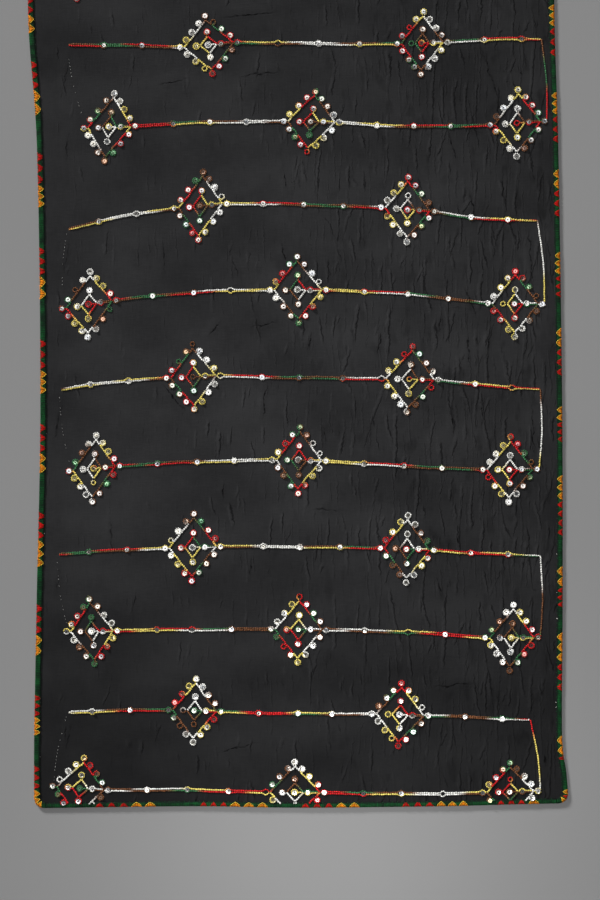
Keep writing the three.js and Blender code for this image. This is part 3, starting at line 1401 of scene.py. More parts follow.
@dataclass
class TurnedEdge:
    """The cloth's own edge, turned in under it: wide along the right side and narrow elsewhere.

    Attributes:
        start: Where the strip starts, inside the braid's lower half.
        narrow: How far in it goes.
        wide: The same along the right side.
        right: What lies further across than this is on the right side.
        below: How far under the cloth's underside it lies.
        every: It has a square for every so many points of the outline.
    """

    plan: ClothPlan
    cloth: ChiffonCloth
    finish: ChiffonFinish
    start: float = 0.0106
    narrow: float = 0.0150
    wide: float = 0.0350
    blend: float = 0.060
    right: float = 0.3
    wavers: tuple[Ripple, ...] = (Ripple(0.0011, 31), Ripple(0.0007, 83, 1))
    wall: float = 0.00025
    below: float = 0.00045
    rows: int = 4
    every: int = 3

    def build(self) -> Piece:
        """Make the strip as one ring under the edge of the cloth.

        Returns:
            The strip.
        """
        outline = self.plan.outline()
        places = outline.places[:: self.every]
        inward = outline.inward[:: self.every]
        count = len(places)
        along = places[:, 1]
        side = self.plan.stretch(Run.RIGHT, corners=False).places[:, 1]
        by_end = np.minimum(along - side[0], side[-1] - along)
        width = smooth_step(by_end, 0, self.blend) * (places[:, 0] > self.right)
        waver = sum(ripple.at(along) for ripple in self.wavers)
        reach = self.narrow + (self.wide - self.narrow + waver) * width
        mesh, shares = unit_grid("turned_edge", count, self.rows)
        index = np.rint(shares[:, 0] * count).astype(int) % count
        depth = self.start + (reach[index] - self.start) * shares[:, 1]
        points = places[index] + inward[index] * depth[:, None]
        heights, _, _ = self.cloth.underside(points)
        move_mesh(mesh, np.column_stack([points, np.maximum(heights - self.below, 0.0)]))
        work = bmesh.new()
        work.from_mesh(mesh)
        bmesh.ops.remove_doubles(work, verts=work.verts, dist=TINY)
        work.to_mesh(mesh)
        work.free()
        material = self.finish.material("doubled_chiffon", doubled=True)
        strip = place_piece("turned_edge", mesh, material)
        thicken(strip, self.wall, outward=True)
        return strip


# Small sewn things: grains of thread bent along paths, and discs.


@dataclass(frozen=True)
class BeadShape:
    """A grain of thread, round in section and pointed at both ends, to be bent along short paths.

    Attributes:
        places: Each vertex: its share of the way along, and its place across and up, from -1 to 1.
        faces: The corners of each face.
    """

    places: Array
    faces: Array

    @classmethod
    def turned(cls, around: int, rings: int) -> "BeadShape":
        """Make the shape from a small sphere.

        Args:
            around: Sides of its section.
            rings: Steps from one end to the other.

        Returns:
            The shape.
        """
        work = bmesh.new()
        bmesh.ops.create_uvsphere(work, u_segments=around, v_segments=rings, radius=1.0)
        points, faces = read_shape(work)
        return cls(np.column_stack([(points[:, 2] + 1) / 2, points[:, 0], points[:, 1]]), faces)


class BeadWork:
    """Collects beads and discs and joins them into one mesh with a colour for each."""

    def __init__(self) -> None:
        """Start with nothing sewn."""
        self._places: list[Array] = []
        self._faces: list[Array] = []
        self._colours: list[Array] = []
        self._count = 0

    def _keep(self, places: Array, faces: Array, colours: Array) -> None:
        """Store copies of a shape.

        Args:
            places: Each vertex of each copy.
            faces: The corners of the shape's faces.
            colours: The colour of each copy.
        """
        copies, size = places.shape[:2]
        shift = self._count + np.arange(copies)[:, None, None] * size
        self._places.append(places.reshape(-1, 3))
        self._faces.append((faces[None] + shift).reshape(-1, faces.shape[1]))
        self._colours.append(np.repeat(colours, size, axis=0))
        self._count += copies * size

    def bend(self, shape: BeadShape, paths: Array, ups: Array, size: tuple, colours: Array) -> None:
        """Bend a copy of a bead along each path.

        Args:
            shape: The bead.
            paths: For each copy, the points that it follows.
            ups: For each copy and point, the direction away from the cloth.
            size: Half the width and half the thickness, for all copies or for each.
            colours: The colour of each copy.
        """
        if len(paths) == 0:
            return
        half, thick = (np.broadcast_to(value, len(paths))[:, None, None] for value in size)
        steps = paths.shape[1] - 1
        along = np.clip(shape.places[:, 0] * steps, 0, steps - 1e-9)
        step = along.astype(int)
        share = (along - step)[None, :, None]
        start = paths[:, step]
        end = paths[:, step + 1]
        up = unit(ups[:, step] * (1 - share) + ups[:, step + 1] * share)
        side = unit(np.cross(up, end - start))
        middle = start * (1 - share) + end * share
        wide = side * shape.places[None, :, 1:2] * half
        high = up * shape.places[None, :, 2:3] * thick
        self._keep(middle + wide + high, shape.faces, colours)

    def stamp(self, points: Array, faces: Array, centres: Array, frames: Array, colours: Array) -> None:
        """Put a copy of a shape at each centre.

        Args:
            points: The shape's own vertices.
            faces: The corners of its faces.
            centres: Where each copy goes.
            frames: The three axes of each copy, as rows.
            colours: The colour of each copy.
        """
        if len(centres):
            self._keep(np.einsum("vk,ckj->cvj", points, frames) + centres[:, None], faces, colours)

    def mesh(self, name: str, attribute: str) -> Mesh:
        """Join everything into one mesh.

        Args:
            name: The mesh's name.
            attribute: The name of its colour attribute.

        Returns:
            The mesh.
        """
        mesh = bpy.data.meshes.new(name)
        places = np.vstack(self._places)
        faces = np.vstack(self._faces)
        mesh.from_pydata(places.tolist(), [], faces.tolist())
        paint(mesh, attribute, np.vstack(self._colours))
        return mesh


# The braid.


class PointColour(Enum):
    """The thread of the braid's sewn points."""

    RED = screen_colour(178, 4, 2)
    ORANGE = screen_colour(216, 124, 8)
    YELLOW = screen_colour(232, 190, 60)
    GREEN = screen_colour(14, 62, 30)
    WHITE = screen_colour(226, 224, 214)


class PointGroup(NamedTuple):
    """A group of sewn points on the braid: red from start to split, then orange from split to end.

    The three places are along the cloth on its long sides, and across it at its ends.
    """

    start: float
    split: float
    end: float
    reds: int
    oranges: int


@dataclass(frozen=True)
class BraidSection:
    """The braid's outer surface in section, from its upper inner edge round the fold to its lower inner edge.

    Attributes:
        reach: How far in from the outline it goes.
        lip: The height of its upper inner edge.
    """

    reach: float = 0.0100
    radius: float = 0.0018
    crown: float = 0.0036
    lip: float = 0.0029
    arc_points: int = 8

    def path(self) -> Array:
        """Draw the section.

        Returns:
            How far in from the outline each point is, and how high.
        """
        top = [(1.0, self.lip), (0.93, self.lip + 0.0003), (0.74, self.crown - 0.0002)]
        top += [(0.52, self.crown), (0.34, self.crown)]
        low = [(0.45, 0.0), (0.72, 0.0), (1.0, 0.0)]
        angles = np.radians(np.linspace(90, 270, self.arc_points))
        arc = self.radius * (1 + np.column_stack([np.cos(angles), np.sin(angles)]))
        return np.vstack([np.multiply(top, (self.reach, 1)), arc, np.multiply(low, (self.reach, 1))])

    def outward(self) -> Array:
        """Find the direction away from the braid at each point of the section."""
        onward = unit(np.gradient(self.path(), axis=0))
        return np.column_stack([onward[:, 1], -onward[:, 0]])


class PointShape(NamedTuple):
    """A sewn point's look: its height and width as shares of the usual, and how sharp its tip is."""

    height: float
    width: float
    sharp: float


@dataclass
class FoldedBraid:
    """One length of braid folded over an edge, with the points sewn on it.

    Attributes:
        axis: 1 where the places of its groups are along the cloth, 0 where they are across it.
        fill: Half the width of a point, as a share of the distance between two.
        gap: How far it is drawn back from its neighbours at both ends.
        faint: The strength of the faintest rib.
        on_floor: What is lower than this lies flat and has no ribs.
        edge_rows: Rows along the upper inner edge that are uneven, and those that get painted shade at its
            rim.
        base_reach: How far in from the outline the base of a point is.
        strand_half: Half the width of a stitch, as a share of the distance between two.
        outline: How far past the point, and above it, its yellow outline lies.
        tack_start: Where a tack starts: outside the braid's inner edge, and its height.
        tack_end: Where it ends: inside that edge, and its height.
    """

    name: str
    stations: Stations
    groups: tuple[PointGroup, ...]
    axis: int
    seed: int
    section: BraidSection
    point_reach: float
    fill: float
    gap: float
    half_length: float = 1.125
    wall: float = 0.0008
    rib: float = 0.0030
    rib_height: float = 0.00016
    faint: float = 0.55
    on_floor: float = 0.0002
    edge_rows: tuple[int, int] = (3, 2)
    base_reach: float = 0.0019
    strands: int = 7
    steps: int = 6
    stray: float = 0.00015
    strand_lift: float = 0.00022
    strand_half: float = 1.25
    strand_thick: float = 0.00050
    heights: tuple[float, float] = (0.90, 1.04)
    shades: tuple[float, float] = (0.62, 1.12)
    red: PointShape = PointShape(1.08, 0.84, 2.0)
    orange: PointShape = PointShape(1.0, 1.0, 1.25)
    outline: tuple[float, float] = (0.0006, 0.00055)
    outline_size: tuple[float, float] = (0.00050, 0.0004)
    overlap: float = 0.0004
    tack: float = 0.0085
    tack_size: tuple[float, float] = (0.00045, 0.0003)
    slant: float = 0.0018
    tack_stray: float = 0.0006
    tack_start: tuple[float, float] = (-0.0012, 0.0033)
    tack_end: tuple[float, float] = (0.0014, 0.0021)
    white: float = 0.02

    def build(self, finish: BraidFinish, thread: Material) -> list[Piece]:
        """Make the ribbon and its stitching.

        Args:
            finish: The ribbon's finish.
            thread: The material of the sewn points.

        Returns:
            Both pieces.
        """
        self._chance = np.random.default_rng(self.seed)
        self._strand = BeadShape.turned(4, self.steps)
        self._short = BeadShape.turned(4, 3)
        return [self._ribbon(finish), self._stitching(thread)]

    def _ribbon(self, finish: BraidFinish) -> Piece:
        """Make the green ribbon, ribbed across, with a slightly uneven inner edge.

        Args:
            finish: Its finish.

        Returns:
            The ribbon.
        """
        path = self.section.path()
        outward = self.section.outward()
        whole = self.stations.way[-1]
        count = round(whole / self.rib) * 2
        mesh, shares = unit_grid(f"{self.name}_braid", count, len(path) - 1)
        station = np.rint(shares[:, 0] * count).astype(int)
        ring = len(path) - 1 - np.rint(shares[:, 1] * (len(path) - 1)).astype(int)
        way = self.gap + shares[:, 0] * (whole - 2 * self.gap)
        places, inward = self.stations.at(way)
        strength = self.faint + (1 - self.faint) * self._chance.random(count + 1)
        rib = (station % 2) * (path[ring, 1] > self.on_floor) * strength[station]
        uneven_rows, rim_shade_rows = self.edge_rows
        uneven = Ripple(0.0004, 190, self.seed).at(way) + Ripple(0.0003, 71).at(way)
        at_edge = (path[ring, 0] > self.section.reach * 0.9) * (ring < uneven_rows)
        inset, height = (path[ring] + outward[ring] * (rib * self.rib_height)[:, None]).T
        spots = places + inward * (inset + uneven * at_edge)[:, None]
        move_mesh(mesh, np.column_stack([spots, np.maximum(height, 0.0)]))
        paint(mesh, "rib", rib.astype(float))
        # Painted shade along the first rows of the upper inner edge.
        paint(mesh, "rim_shade", (ring < rim_shade_rows).astype(float))
        material = finish.material(f"{self.name}_woven_braid")
        piece = place_piece(f"{self.name}_braid", mesh, material)
        thicken(piece, self.wall, outward=False)
        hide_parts(f"{self.name}_trim")
        return piece

    def _over_fold(self, way: Array, reach: Array, lift: float) -> tuple[Array, Array]:
        """Lay short paths over the fold, from the braid's top round its outer edge.

        Args:
            way: How far along the braid each path is.
            reach: How far in from the outline each one starts.
            lift: How far above the braid it lies.

        Returns:
            The paths, and the direction away from the braid at each of their points.
        """
        path = self.section.path()
        outward = self.section.outward()
        along = travelled(path)
        upper = path[:, 1] > self.section.radius
        starts = np.interp(-reach, -path[upper, 0], along[upper])
        end = along[np.argmin(path[:, 0])] + self.section.radius * 0.9
        spots = starts[:, None] + (end - starts)[:, None] * np.linspace(0, 1, self.steps)
        side, up = (np.interp(spots, along, outward[:, k]) for k in (0, 1))
        inset = np.interp(spots, along, path[:, 0]) + lift * side
        height = np.interp(spots, along, path[:, 1]) + lift * up
        places, inward = self.stations.at(way)
        flat = places[:, None] + inward[:, None] * inset[..., None]
        ups = np.concatenate([inward[:, None] * side[..., None], up[..., None]], axis=2)
        return np.concatenate([flat, height[..., None]], axis=2), unit(ups)

    def _point(self, work: BeadWork, way: float, base: float, colour: PointColour) -> None:
        """Sew one triangular point in satin stitch, its base on the outer edge.

        Args:
            work: Collects the stitches.
            way: Where the middle of the point is along the braid.
            base: The width of its base.
            colour: Its thread.
        """
        chance = self._chance
        shape = self.orange if colour is PointColour.ORANGE else self.red
        spots = np.linspace(-1, 1, self.strands)
        reach = self.point_reach * chance.uniform(*self.heights) * shape.height
        spread = base * self.fill * shape.width
        tops = self.base_reach + (reach - self.base_reach) * (1 - np.abs(spots) ** shape.sharp)
        ways = way + spots * spread + chance.normal(0, self.stray, self.strands)
        inside = (ways > self.gap) & (ways < self.stations.way[-1] - self.gap)
        paths, ups = self._over_fold(ways[inside], tops[inside], self.strand_lift)
        tint = np.array(colour.value) * chance.uniform(*self.shades, (len(paths), 1))
        half = spread / self.strands * self.strand_half
        work.bend(self._strand, paths, ups, (half, self.strand_thick), tint)
        if shape is self.orange and inside.all():
            self._outline(work, ways, tops)

    def _outline(self, work: BeadWork, ways: Array, tops: Array) -> None:
        """Lay a yellow zigzag along the two slopes of a point.

        Args:
            work: Collects the stitches.
            ways: Where the point's stitches are along the braid.
            tops: How far in from the outline they go.
        """
        past, lift = self.outline
        paths, ups = self._over_fold(ways, tops + past, lift)
        slopes, lifted = (np.stack([tip[:-1], tip[1:]], axis=1) for tip in (paths[:, 0], ups[:, 0]))
        ends = np.array([-self.overlap, self.overlap])[None, :, None]
        slopes += unit(slopes[:, 1:] - slopes[:, :1]) * ends
        tint = np.tile(PointColour.YELLOW.value, (len(slopes), 1))
        work.bend(self._short, slopes, lifted, self.outline_size, tint)

    def _tacks(self, work: BeadWork) -> None:
        """Sew the braid down with small slanted tacks along its inner edge, a few of them white.

        Args:
            work: Collects the stitches.
        """
        chance = self._chance
        margin = self.gap + 0.006
        ways = np.arange(margin, self.stations.way[-1] - margin, self.tack)
        ways = ways + chance.normal(0, self.tack_stray, len(ways))
        ends = []
        for spots, (inside, height) in ((ways, self.tack_start), (ways + self.slant, self.tack_end)):
            places, inward = self.stations.at(spots)
            flat = places + inward * (self.section.reach + inside)
            ends.append(np.column_stack([flat, np.full(len(ways), height)]))
        white = chance.random((len(ways), 1)) < self.white
        tint = np.where(white, PointColour.WHITE.value, PointColour.GREEN.value)
        ups = np.tile(UP, (len(ways), 2, 1))
        work.bend(self._short, np.stack(ends, axis=1), ups, self.tack_size, tint)

    def _way_at(self, place: float) -> float:
        """Find how far along the braid a place is.

        Args:
            place: The place, along the cloth or, at its short ends, across it.

        Returns:
            The distance along the braid.
        """
        level = self.stations.places[:, self.axis] + (self.half_length if self.axis else 0.0)
        forward = 1 if level[-1] > level[0] else -1
        return float(np.interp(place, level[::forward], self.stations.way[::forward]))

    def _stitching(self, thread: Material) -> Piece:
        """Sew all the points and tacks of this length of braid.

        Args:
            thread: The material of the thread.

        Returns:
            The stitching.
        """
        work = BeadWork()
        for group in self.groups:
            runs = (
                (group.start, group.split, group.reds, PointColour.RED),
                (group.split, group.end, group.oranges, PointColour.ORANGE),
            )
            for start, end, count, colour in runs:
                first, last = self._way_at(start), self._way_at(end)
                for k in range(count):
                    base = (last - first) / count
                    self._point(work, first + base * (k + 0.5), abs(base), colour)
        self._tacks(work)
        name = f"{self.name}_braid_stitching"
        return place_piece(name, work.mesh(name, THREAD_COLOUR), thread)


def far_groups(start: float, pitch: float, red: float, orange: float, count: int) -> tuple[PointGroup, ...]:
    """Carry the groups of points on at an even distance, with two and three orange points by turns.

    Args:
        start: Where the first group's red points start.
        pitch: From one group to the next.
        red: The length of the red points, less than nothing where they run back.
        orange: The same for the orange points.
        count: How many groups there are.

    Returns:
        The groups.
    """
    starts = [start + pitch * k for k in range(count)]
    return tuple(PointGroup(s, s + red, s + red + orange, 3, 2 + k % 2) for k, s in enumerate(starts))


NEAR_GROUPS = tuple(
    PointGroup(*row)
    for row in (
        (-0.350, -0.288, -0.241, 3, 2),
        (-0.170, -0.119, -0.049, 3, 3),
        (0.003, 0.063, 0.108, 3, 2),
        (0.175, 0.236, 0.293, 3, 3),
        (0.339, 0.392, 0.416, 3, 1),
    )
)

RIGHT_GROUPS = tuple(
    PointGroup(*row)
    for row in (
        (0.0095, 0.0096, 0.0150, 0, 1),
        (0.0150, 0.0240, 0.0330, 1, 1),
        (0.082, 0.091, 0.125, 1, 2),
        (0.199, 0.250, 0.302, 3, 3),
        (0.343, 0.379, 0.415, 3, 2),
        (0.465, 0.528, 0.571, 4, 3),
        (0.626, 0.663, 0.689, 3, 2),
        (0.739, 0.789, 0.823, 3, 2),
        (0.874, 0.914, 0.953, 3, 3),
        (1.011, 1.061, 1.095, 3, 2),
        (1.138, 1.188, 1.227, 3, 3),
        (1.286, 1.339, 1.377, 3, 3),
    )
)

LEFT_GROUPS = tuple(
    PointGroup(*row)
    for row in (
        (1.409, 1.359, 1.327, 3, 2),
        (1.281, 1.230, 1.186, 3, 2),
        (1.125, 1.067, 1.029, 3, 3),
        (0.962, 0.911, 0.871, 3, 2),
        (0.804, 0.750, 0.710, 3, 3),
        (0.660, 0.608, 0.574, 3, 2),
        (0.509, 0.459, 0.413, 3, 3),
        (0.351, 0.297, 0.261, 3, 2),
        (0.195, 0.156, 0.125, 3, 3),
        (0.074, 0.031, 0.001, 3, 3),
    )
)


class BraidStyle(NamedTuple):
    """How one length of braid differs: its width, how far its points go, how full they are, and its seed."""

    reach: float
    point_reach: float
    fill: float
    seed: int


@dataclass
class Border:
    """The four lengths of braid round the cloth: the long sides take the corners.

    Attributes:
        gap: How far the short lengths stop from the long ones.
        near: The near length's style; the other three are the same.
        right_on: How the right side's groups of points go on, past those listed.
    """

    plan: ClothPlan
    finish: BraidFinish
    thread: Material
    gap: float = 0.0004
    near: BraidStyle = BraidStyle(0.0082, 0.0074, 0.34, 3)
    right: BraidStyle = BraidStyle(0.0092, 0.0084, 0.39, 5)
    far: BraidStyle = BraidStyle(0.0092, 0.0084, 0.39, 7)
    left: BraidStyle = BraidStyle(0.0100, 0.0096, 0.42, 9)
    right_on: tuple[PointGroup, ...] = far_groups(1.431, 0.148, 0.050, 0.038, 6)
    left_on: tuple[PointGroup, ...] = far_groups(1.562, 0.153, -0.052, -0.038, 5)
    far_all: tuple[PointGroup, ...] = far_groups(0.350, -0.171, -0.056, -0.046, 5)

    def build(self) -> list[Piece]:
        """Make all four lengths with their stitching.

        Returns:
            Their pieces.
        """
        lengths = (
            self._length("near", Run.NEAR, NEAR_GROUPS, self.near),
            self._length("right", Run.RIGHT, (*RIGHT_GROUPS, *self.right_on), self.right),
            self._length("far", Run.FAR, self.far_all, self.far),
            self._length("left", Run.LEFT, (*LEFT_GROUPS, *self.left_on), self.left),
        )
        return [piece for braid in lengths for piece in braid.build(self.finish, self.thread)]

    def _length(self, side: str, run: Run, groups: tuple[PointGroup, ...], style: BraidStyle) -> FoldedBraid:
        """Plan one length of braid: the long sides run on round the corners, the ends stop short of them.

        Args:
            side: The edge that it covers.
            run: The same edge of the outline.
            groups: The points sewn on it.
            style: Its style.

        Returns:
            The braid.
        """
        long = run in (Run.RIGHT, Run.LEFT)
        return FoldedBraid(
            name=side,
            stations=self.plan.stretch(run, corners=long),
            groups=groups,
            axis=1 if long else 0,
            seed=style.seed,
            section=BraidSection(reach=style.reach),
            point_reach=style.point_reach,
            fill=style.fill,
            gap=0.0 if long else self.gap,
        )


# The embroidery.


class ThreadColour(Enum):
    """The colours of the variegated thread, in the order in which it changes, and the length of each."""

    WHITE = (screen_colour(250, 249, 243), 0.086)
    YELLOW = (screen_colour(240, 220, 112), 0.076)
    RED = (screen_colour(206, 14, 20), 0.084)
    GREEN = (screen_colour(50, 112, 66), 0.052)
    BROWN = (screen_colour(116, 70, 36), 0.078)


class Bobbin:
    """A bobbin of variegated thread, which remembers how much has been sewn."""

    blend = 0.018
    """How long the thread takes to change from one colour to the next."""

    def __init__(self, used: float, way: int) -> None:
        """Start some way into the thread.

        Args:
            used: The length already gone.
            way: 1 where it runs through its colours in their order, -1 where it runs back through them.
        """
        self.used = used
        self.way = way
        tints, lengths = zip(*(colour.value for colour in ThreadColour))
        ends = np.cumsum(lengths)
        starts = ends - lengths
        self._cycle = float(ends[-1])
        self._marks = np.column_stack([starts + self.blend / 2, ends - self.blend / 2]).ravel()
        self._tints = np.repeat(tints, 2, axis=0)

    def sew(self, length: float, stitches: int) -> Array:
        """Use up some thread.

        Args:
            length: How much of it.
            stitches: Into how many stitches it goes.

        Returns:
            The colour of each stitch.
        """
        spots = self.used + self.way * (np.arange(stitches) + 0.5) * length / stitches
        self.used += self.way * length
        parts = [np.interp(spots, self._marks, part, period=self._cycle) for part in self._tints.T]
        return np.column_stack(parts)


class ChainSize(NamedTuple):
    """A chain stitch: the width of the chain and the length of a link."""

    width: float
    pitch: float


class Chain(Enum):
    """The chains used in the work."""

    LINE = ChainSize(0.0027, 0.0038)
    TAIL = ChainSize(0.0024, 0.0036)
    SIDE = ChainSize(0.0030, 0.0037)
    STEM = ChainSize(0.0024, 0.0034)
    RING = ChainSize(0.0025, 0.0031)
    JOIN = ChainSize(0.0027, 0.0039)


class Corner(Enum):
    """The corners of a diamond, by their share of its width and height from its middle."""

    LEFT = (-0.5, 0.0)
    TOP = (0.0, 0.5)
    RIGHT = (0.5, 0.0)
    BOTTOM = (0.0, -0.5)


class Diamond(NamedTuple):
    """A diamond: its middle, its size between opposite corner sequins, and the lean of its two axes.

    The lean is how far its top is to the right of its bottom, and the slope is how far its right corner is
    above its left one.
    """

    across: float
    along: float
    width: float
    height: float
    lean: float = 0.0
    slope: float = 0.0


class EmbroideryRow(NamedTuple):
    """A row of the work.

    Attributes:
        diamonds: Its diamonds, from left to right.
        left_end: Its free left end, where it has one.
        right_end: The same on the right.
        bows: The bow of each line between.
        way: 1 where its thread runs through its colours in their order, -1 where it runs back.
        turn: How far into its colours the thread is where it turns at the right end.
    """

    diamonds: tuple[Diamond, ...]
    left_end: tuple[float, float] | None = None
    right_end: tuple[float, float] | None = None
    bows: tuple[float, ...] = ()
    way: int = 1
    turn: float | None = None


NEAR_ROWS = (
    EmbroideryRow(
        (
            Diamond(-0.373, 0.034, 0.095, 0.103, 0.014, -0.007),
            Diamond(-0.005, 0.027, 0.100, 0.104, 0.000, 0.000),
            Diamond(0.364, 0.028, 0.095, 0.098, -0.001, 0.004),
        ),
        bows=(0.002, -0.002),
    ),
    EmbroideryRow(
        (
            Diamond(-0.177, 0.167, 0.090, 0.109, 0.006, -0.003),
            Diamond(0.175, 0.160, 0.096, 0.108, 0.006, -0.004),
        ),
        left_end=(-0.393, 0.164),
        right_end=(0.398, 0.151),
        bows=(0.001, -0.002, 0.001),
        way=-1,
        turn=0.193,
    ),
    EmbroideryRow(
        (
            Diamond(-0.353, 0.303, 0.087, 0.111, -0.009, 0.002),
            Diamond(0.001, 0.306, 0.095, 0.113, 0.003, -0.001),
            Diamond(0.366, 0.292, 0.091, 0.113, 0.007, 0.001),
        ),
        bows=(0.001, 0.003),
    ),
    EmbroideryRow(
        (
            Diamond(-0.180, 0.447, 0.095, 0.115, 0.003, 0.003),
            Diamond(0.187, 0.444, 0.092, 0.115, 0.003, -0.003),
        ),
        left_end=(-0.410, 0.435),
        right_end=(0.415, 0.432),
        bows=(0.001, 0.001, -0.001),
        way=-1,
        turn=0.059,
    ),
    EmbroideryRow(
        (
            Diamond(-0.349, 0.582, 0.087, 0.113, 0.007, 0.009),
            Diamond(0.002, 0.596, 0.092, 0.114, 0.003, -0.002),
            Diamond(0.363, 0.580, 0.093, 0.111, 0.004, 0.001),
        ),
        bows=(0.002, -0.001),
    ),
    EmbroideryRow(
        (
            Diamond(-0.179, 0.739, 0.092, 0.112, -0.003, 0.005),
            Diamond(0.192, 0.735, 0.097, 0.113, 0.009, -0.002),
        ),
        left_end=(-0.406, 0.717),
        right_end=(0.415, 0.718),
        bows=(0.004, -0.001, -0.002),
        turn=0.348,
    ),
    EmbroideryRow(
        (
            Diamond(-0.358, 0.863, 0.093, 0.113, 0.004, 0.015),
            Diamond(0.000, 0.888, 0.096, 0.114, -0.003, 0.000),
            Diamond(0.372, 0.864, 0.093, 0.113, 0.001, 0.001),
        ),
        bows=(0.005, 0.005),
    ),
    EmbroideryRow(
        (
            Diamond(-0.167, 1.032, 0.090, 0.117, 0.008, 0.009),
            Diamond(0.188, 1.026, 0.091, 0.111, 0.003, -0.006),
        ),
        left_end=(-0.393, 0.992),
        right_end=(0.410, 1.007),
        bows=(0.004, 0.002, -0.005),
        turn=0.366,
    ),
    EmbroideryRow(
        (
            Diamond(-0.323, 1.167, 0.088, 0.116, 0.017, 0.003),
            Diamond(0.023, 1.176, 0.095, 0.104, 0.015, -0.001),
            Diamond(0.376, 1.174, 0.093, 0.114, 0.003, 0.007),
        ),
        bows=(0.003, -0.005),
    ),
    EmbroideryRow(
        (
            Diamond(-0.153, 1.308, 0.098, 0.099, -0.013, 0.010),
            Diamond(0.213, 1.311, 0.086, 0.107, 0.005, 0.003),
        ),
        left_end=(-0.393, 1.308),
        right_end=(0.417, 1.317),
        bows=(0.001, -0.001, 0.003),
        way=-1,
        turn=0.332,
    ),
    EmbroideryRow(
        (
            Diamond(-0.377, 1.443, 0.092, 0.112, 0.004, 0.002),
            Diamond(0.010, 1.453, 0.094, 0.112, 0.002, -0.001),
            Diamond(0.370, 1.453, 0.092, 0.113, 0.005, 0.003),
        ),
        bows=(0.002, -0.001),
    ),
)


@dataclass(frozen=True)
class FarRows:
    """The rows past the near ones, which carry the same work on to the far end.

    Attributes:
        spots: Where the diamonds are across the cloth, in rows of two and of three by turns.
        end_reach: How far from the middle the free ends of a row are.
        stray: How far a diamond is from its place, across and along.
        end_stray: The middle distance along from a row to its free ends, and its spread.
    """

    start: float = 1.589
    pitch: float = 0.1425
    count: int = 5
    width: float = 0.092
    height: float = 0.112
    spots: tuple[tuple[float, ...], ...] = ((-0.182, 0.182), (-0.366, 0.0, 0.366))
    end_reach: float = 0.412
    seed: int = 17
    stray: tuple[float, float] = (0.006, 0.005)
    widths: tuple[float, float] = (0.96, 1.05)
    heights: tuple[float, float] = (0.96, 1.03)
    lean: tuple[float, float] = (0.003, 0.005)
    slope: float = 0.004
    bow: float = 0.002
    end_stray: tuple[float, float] = (-0.006, 0.006)

    def draw(self) -> tuple[EmbroideryRow, ...]:
        """Set out the rows: two diamonds and three by turns, each a little out of true.

        Returns:
            The rows.
        """
        chance = np.random.default_rng(self.seed)
        rows = []
        for k in range(self.count):
            along = self.start + k * self.pitch
            spots = self.spots[k % 2]
            diamonds = tuple(
                Diamond(
                    spot + chance.normal(0, self.stray[0]),
                    along + chance.normal(0, self.stray[1]),
                    self.width * chance.uniform(*self.widths),
                    self.height * chance.uniform(*self.heights),
                    chance.normal(*self.lean),
                    chance.normal(0, self.slope),
                )
                for spot in spots
            )
            bows = tuple(chance.normal(0, self.bow, len(spots) + 1))
            if len(spots) == 3:
                rows.append(EmbroideryRow(diamonds, bows=bows[1:-1]))
                continue
            left = (-self.end_reach, along + chance.normal(*self.end_stray))
            right = (self.end_reach, along + chance.normal(*self.end_stray))
            rows.append(EmbroideryRow(diamonds, left, right, bows))
        return tuple(rows)


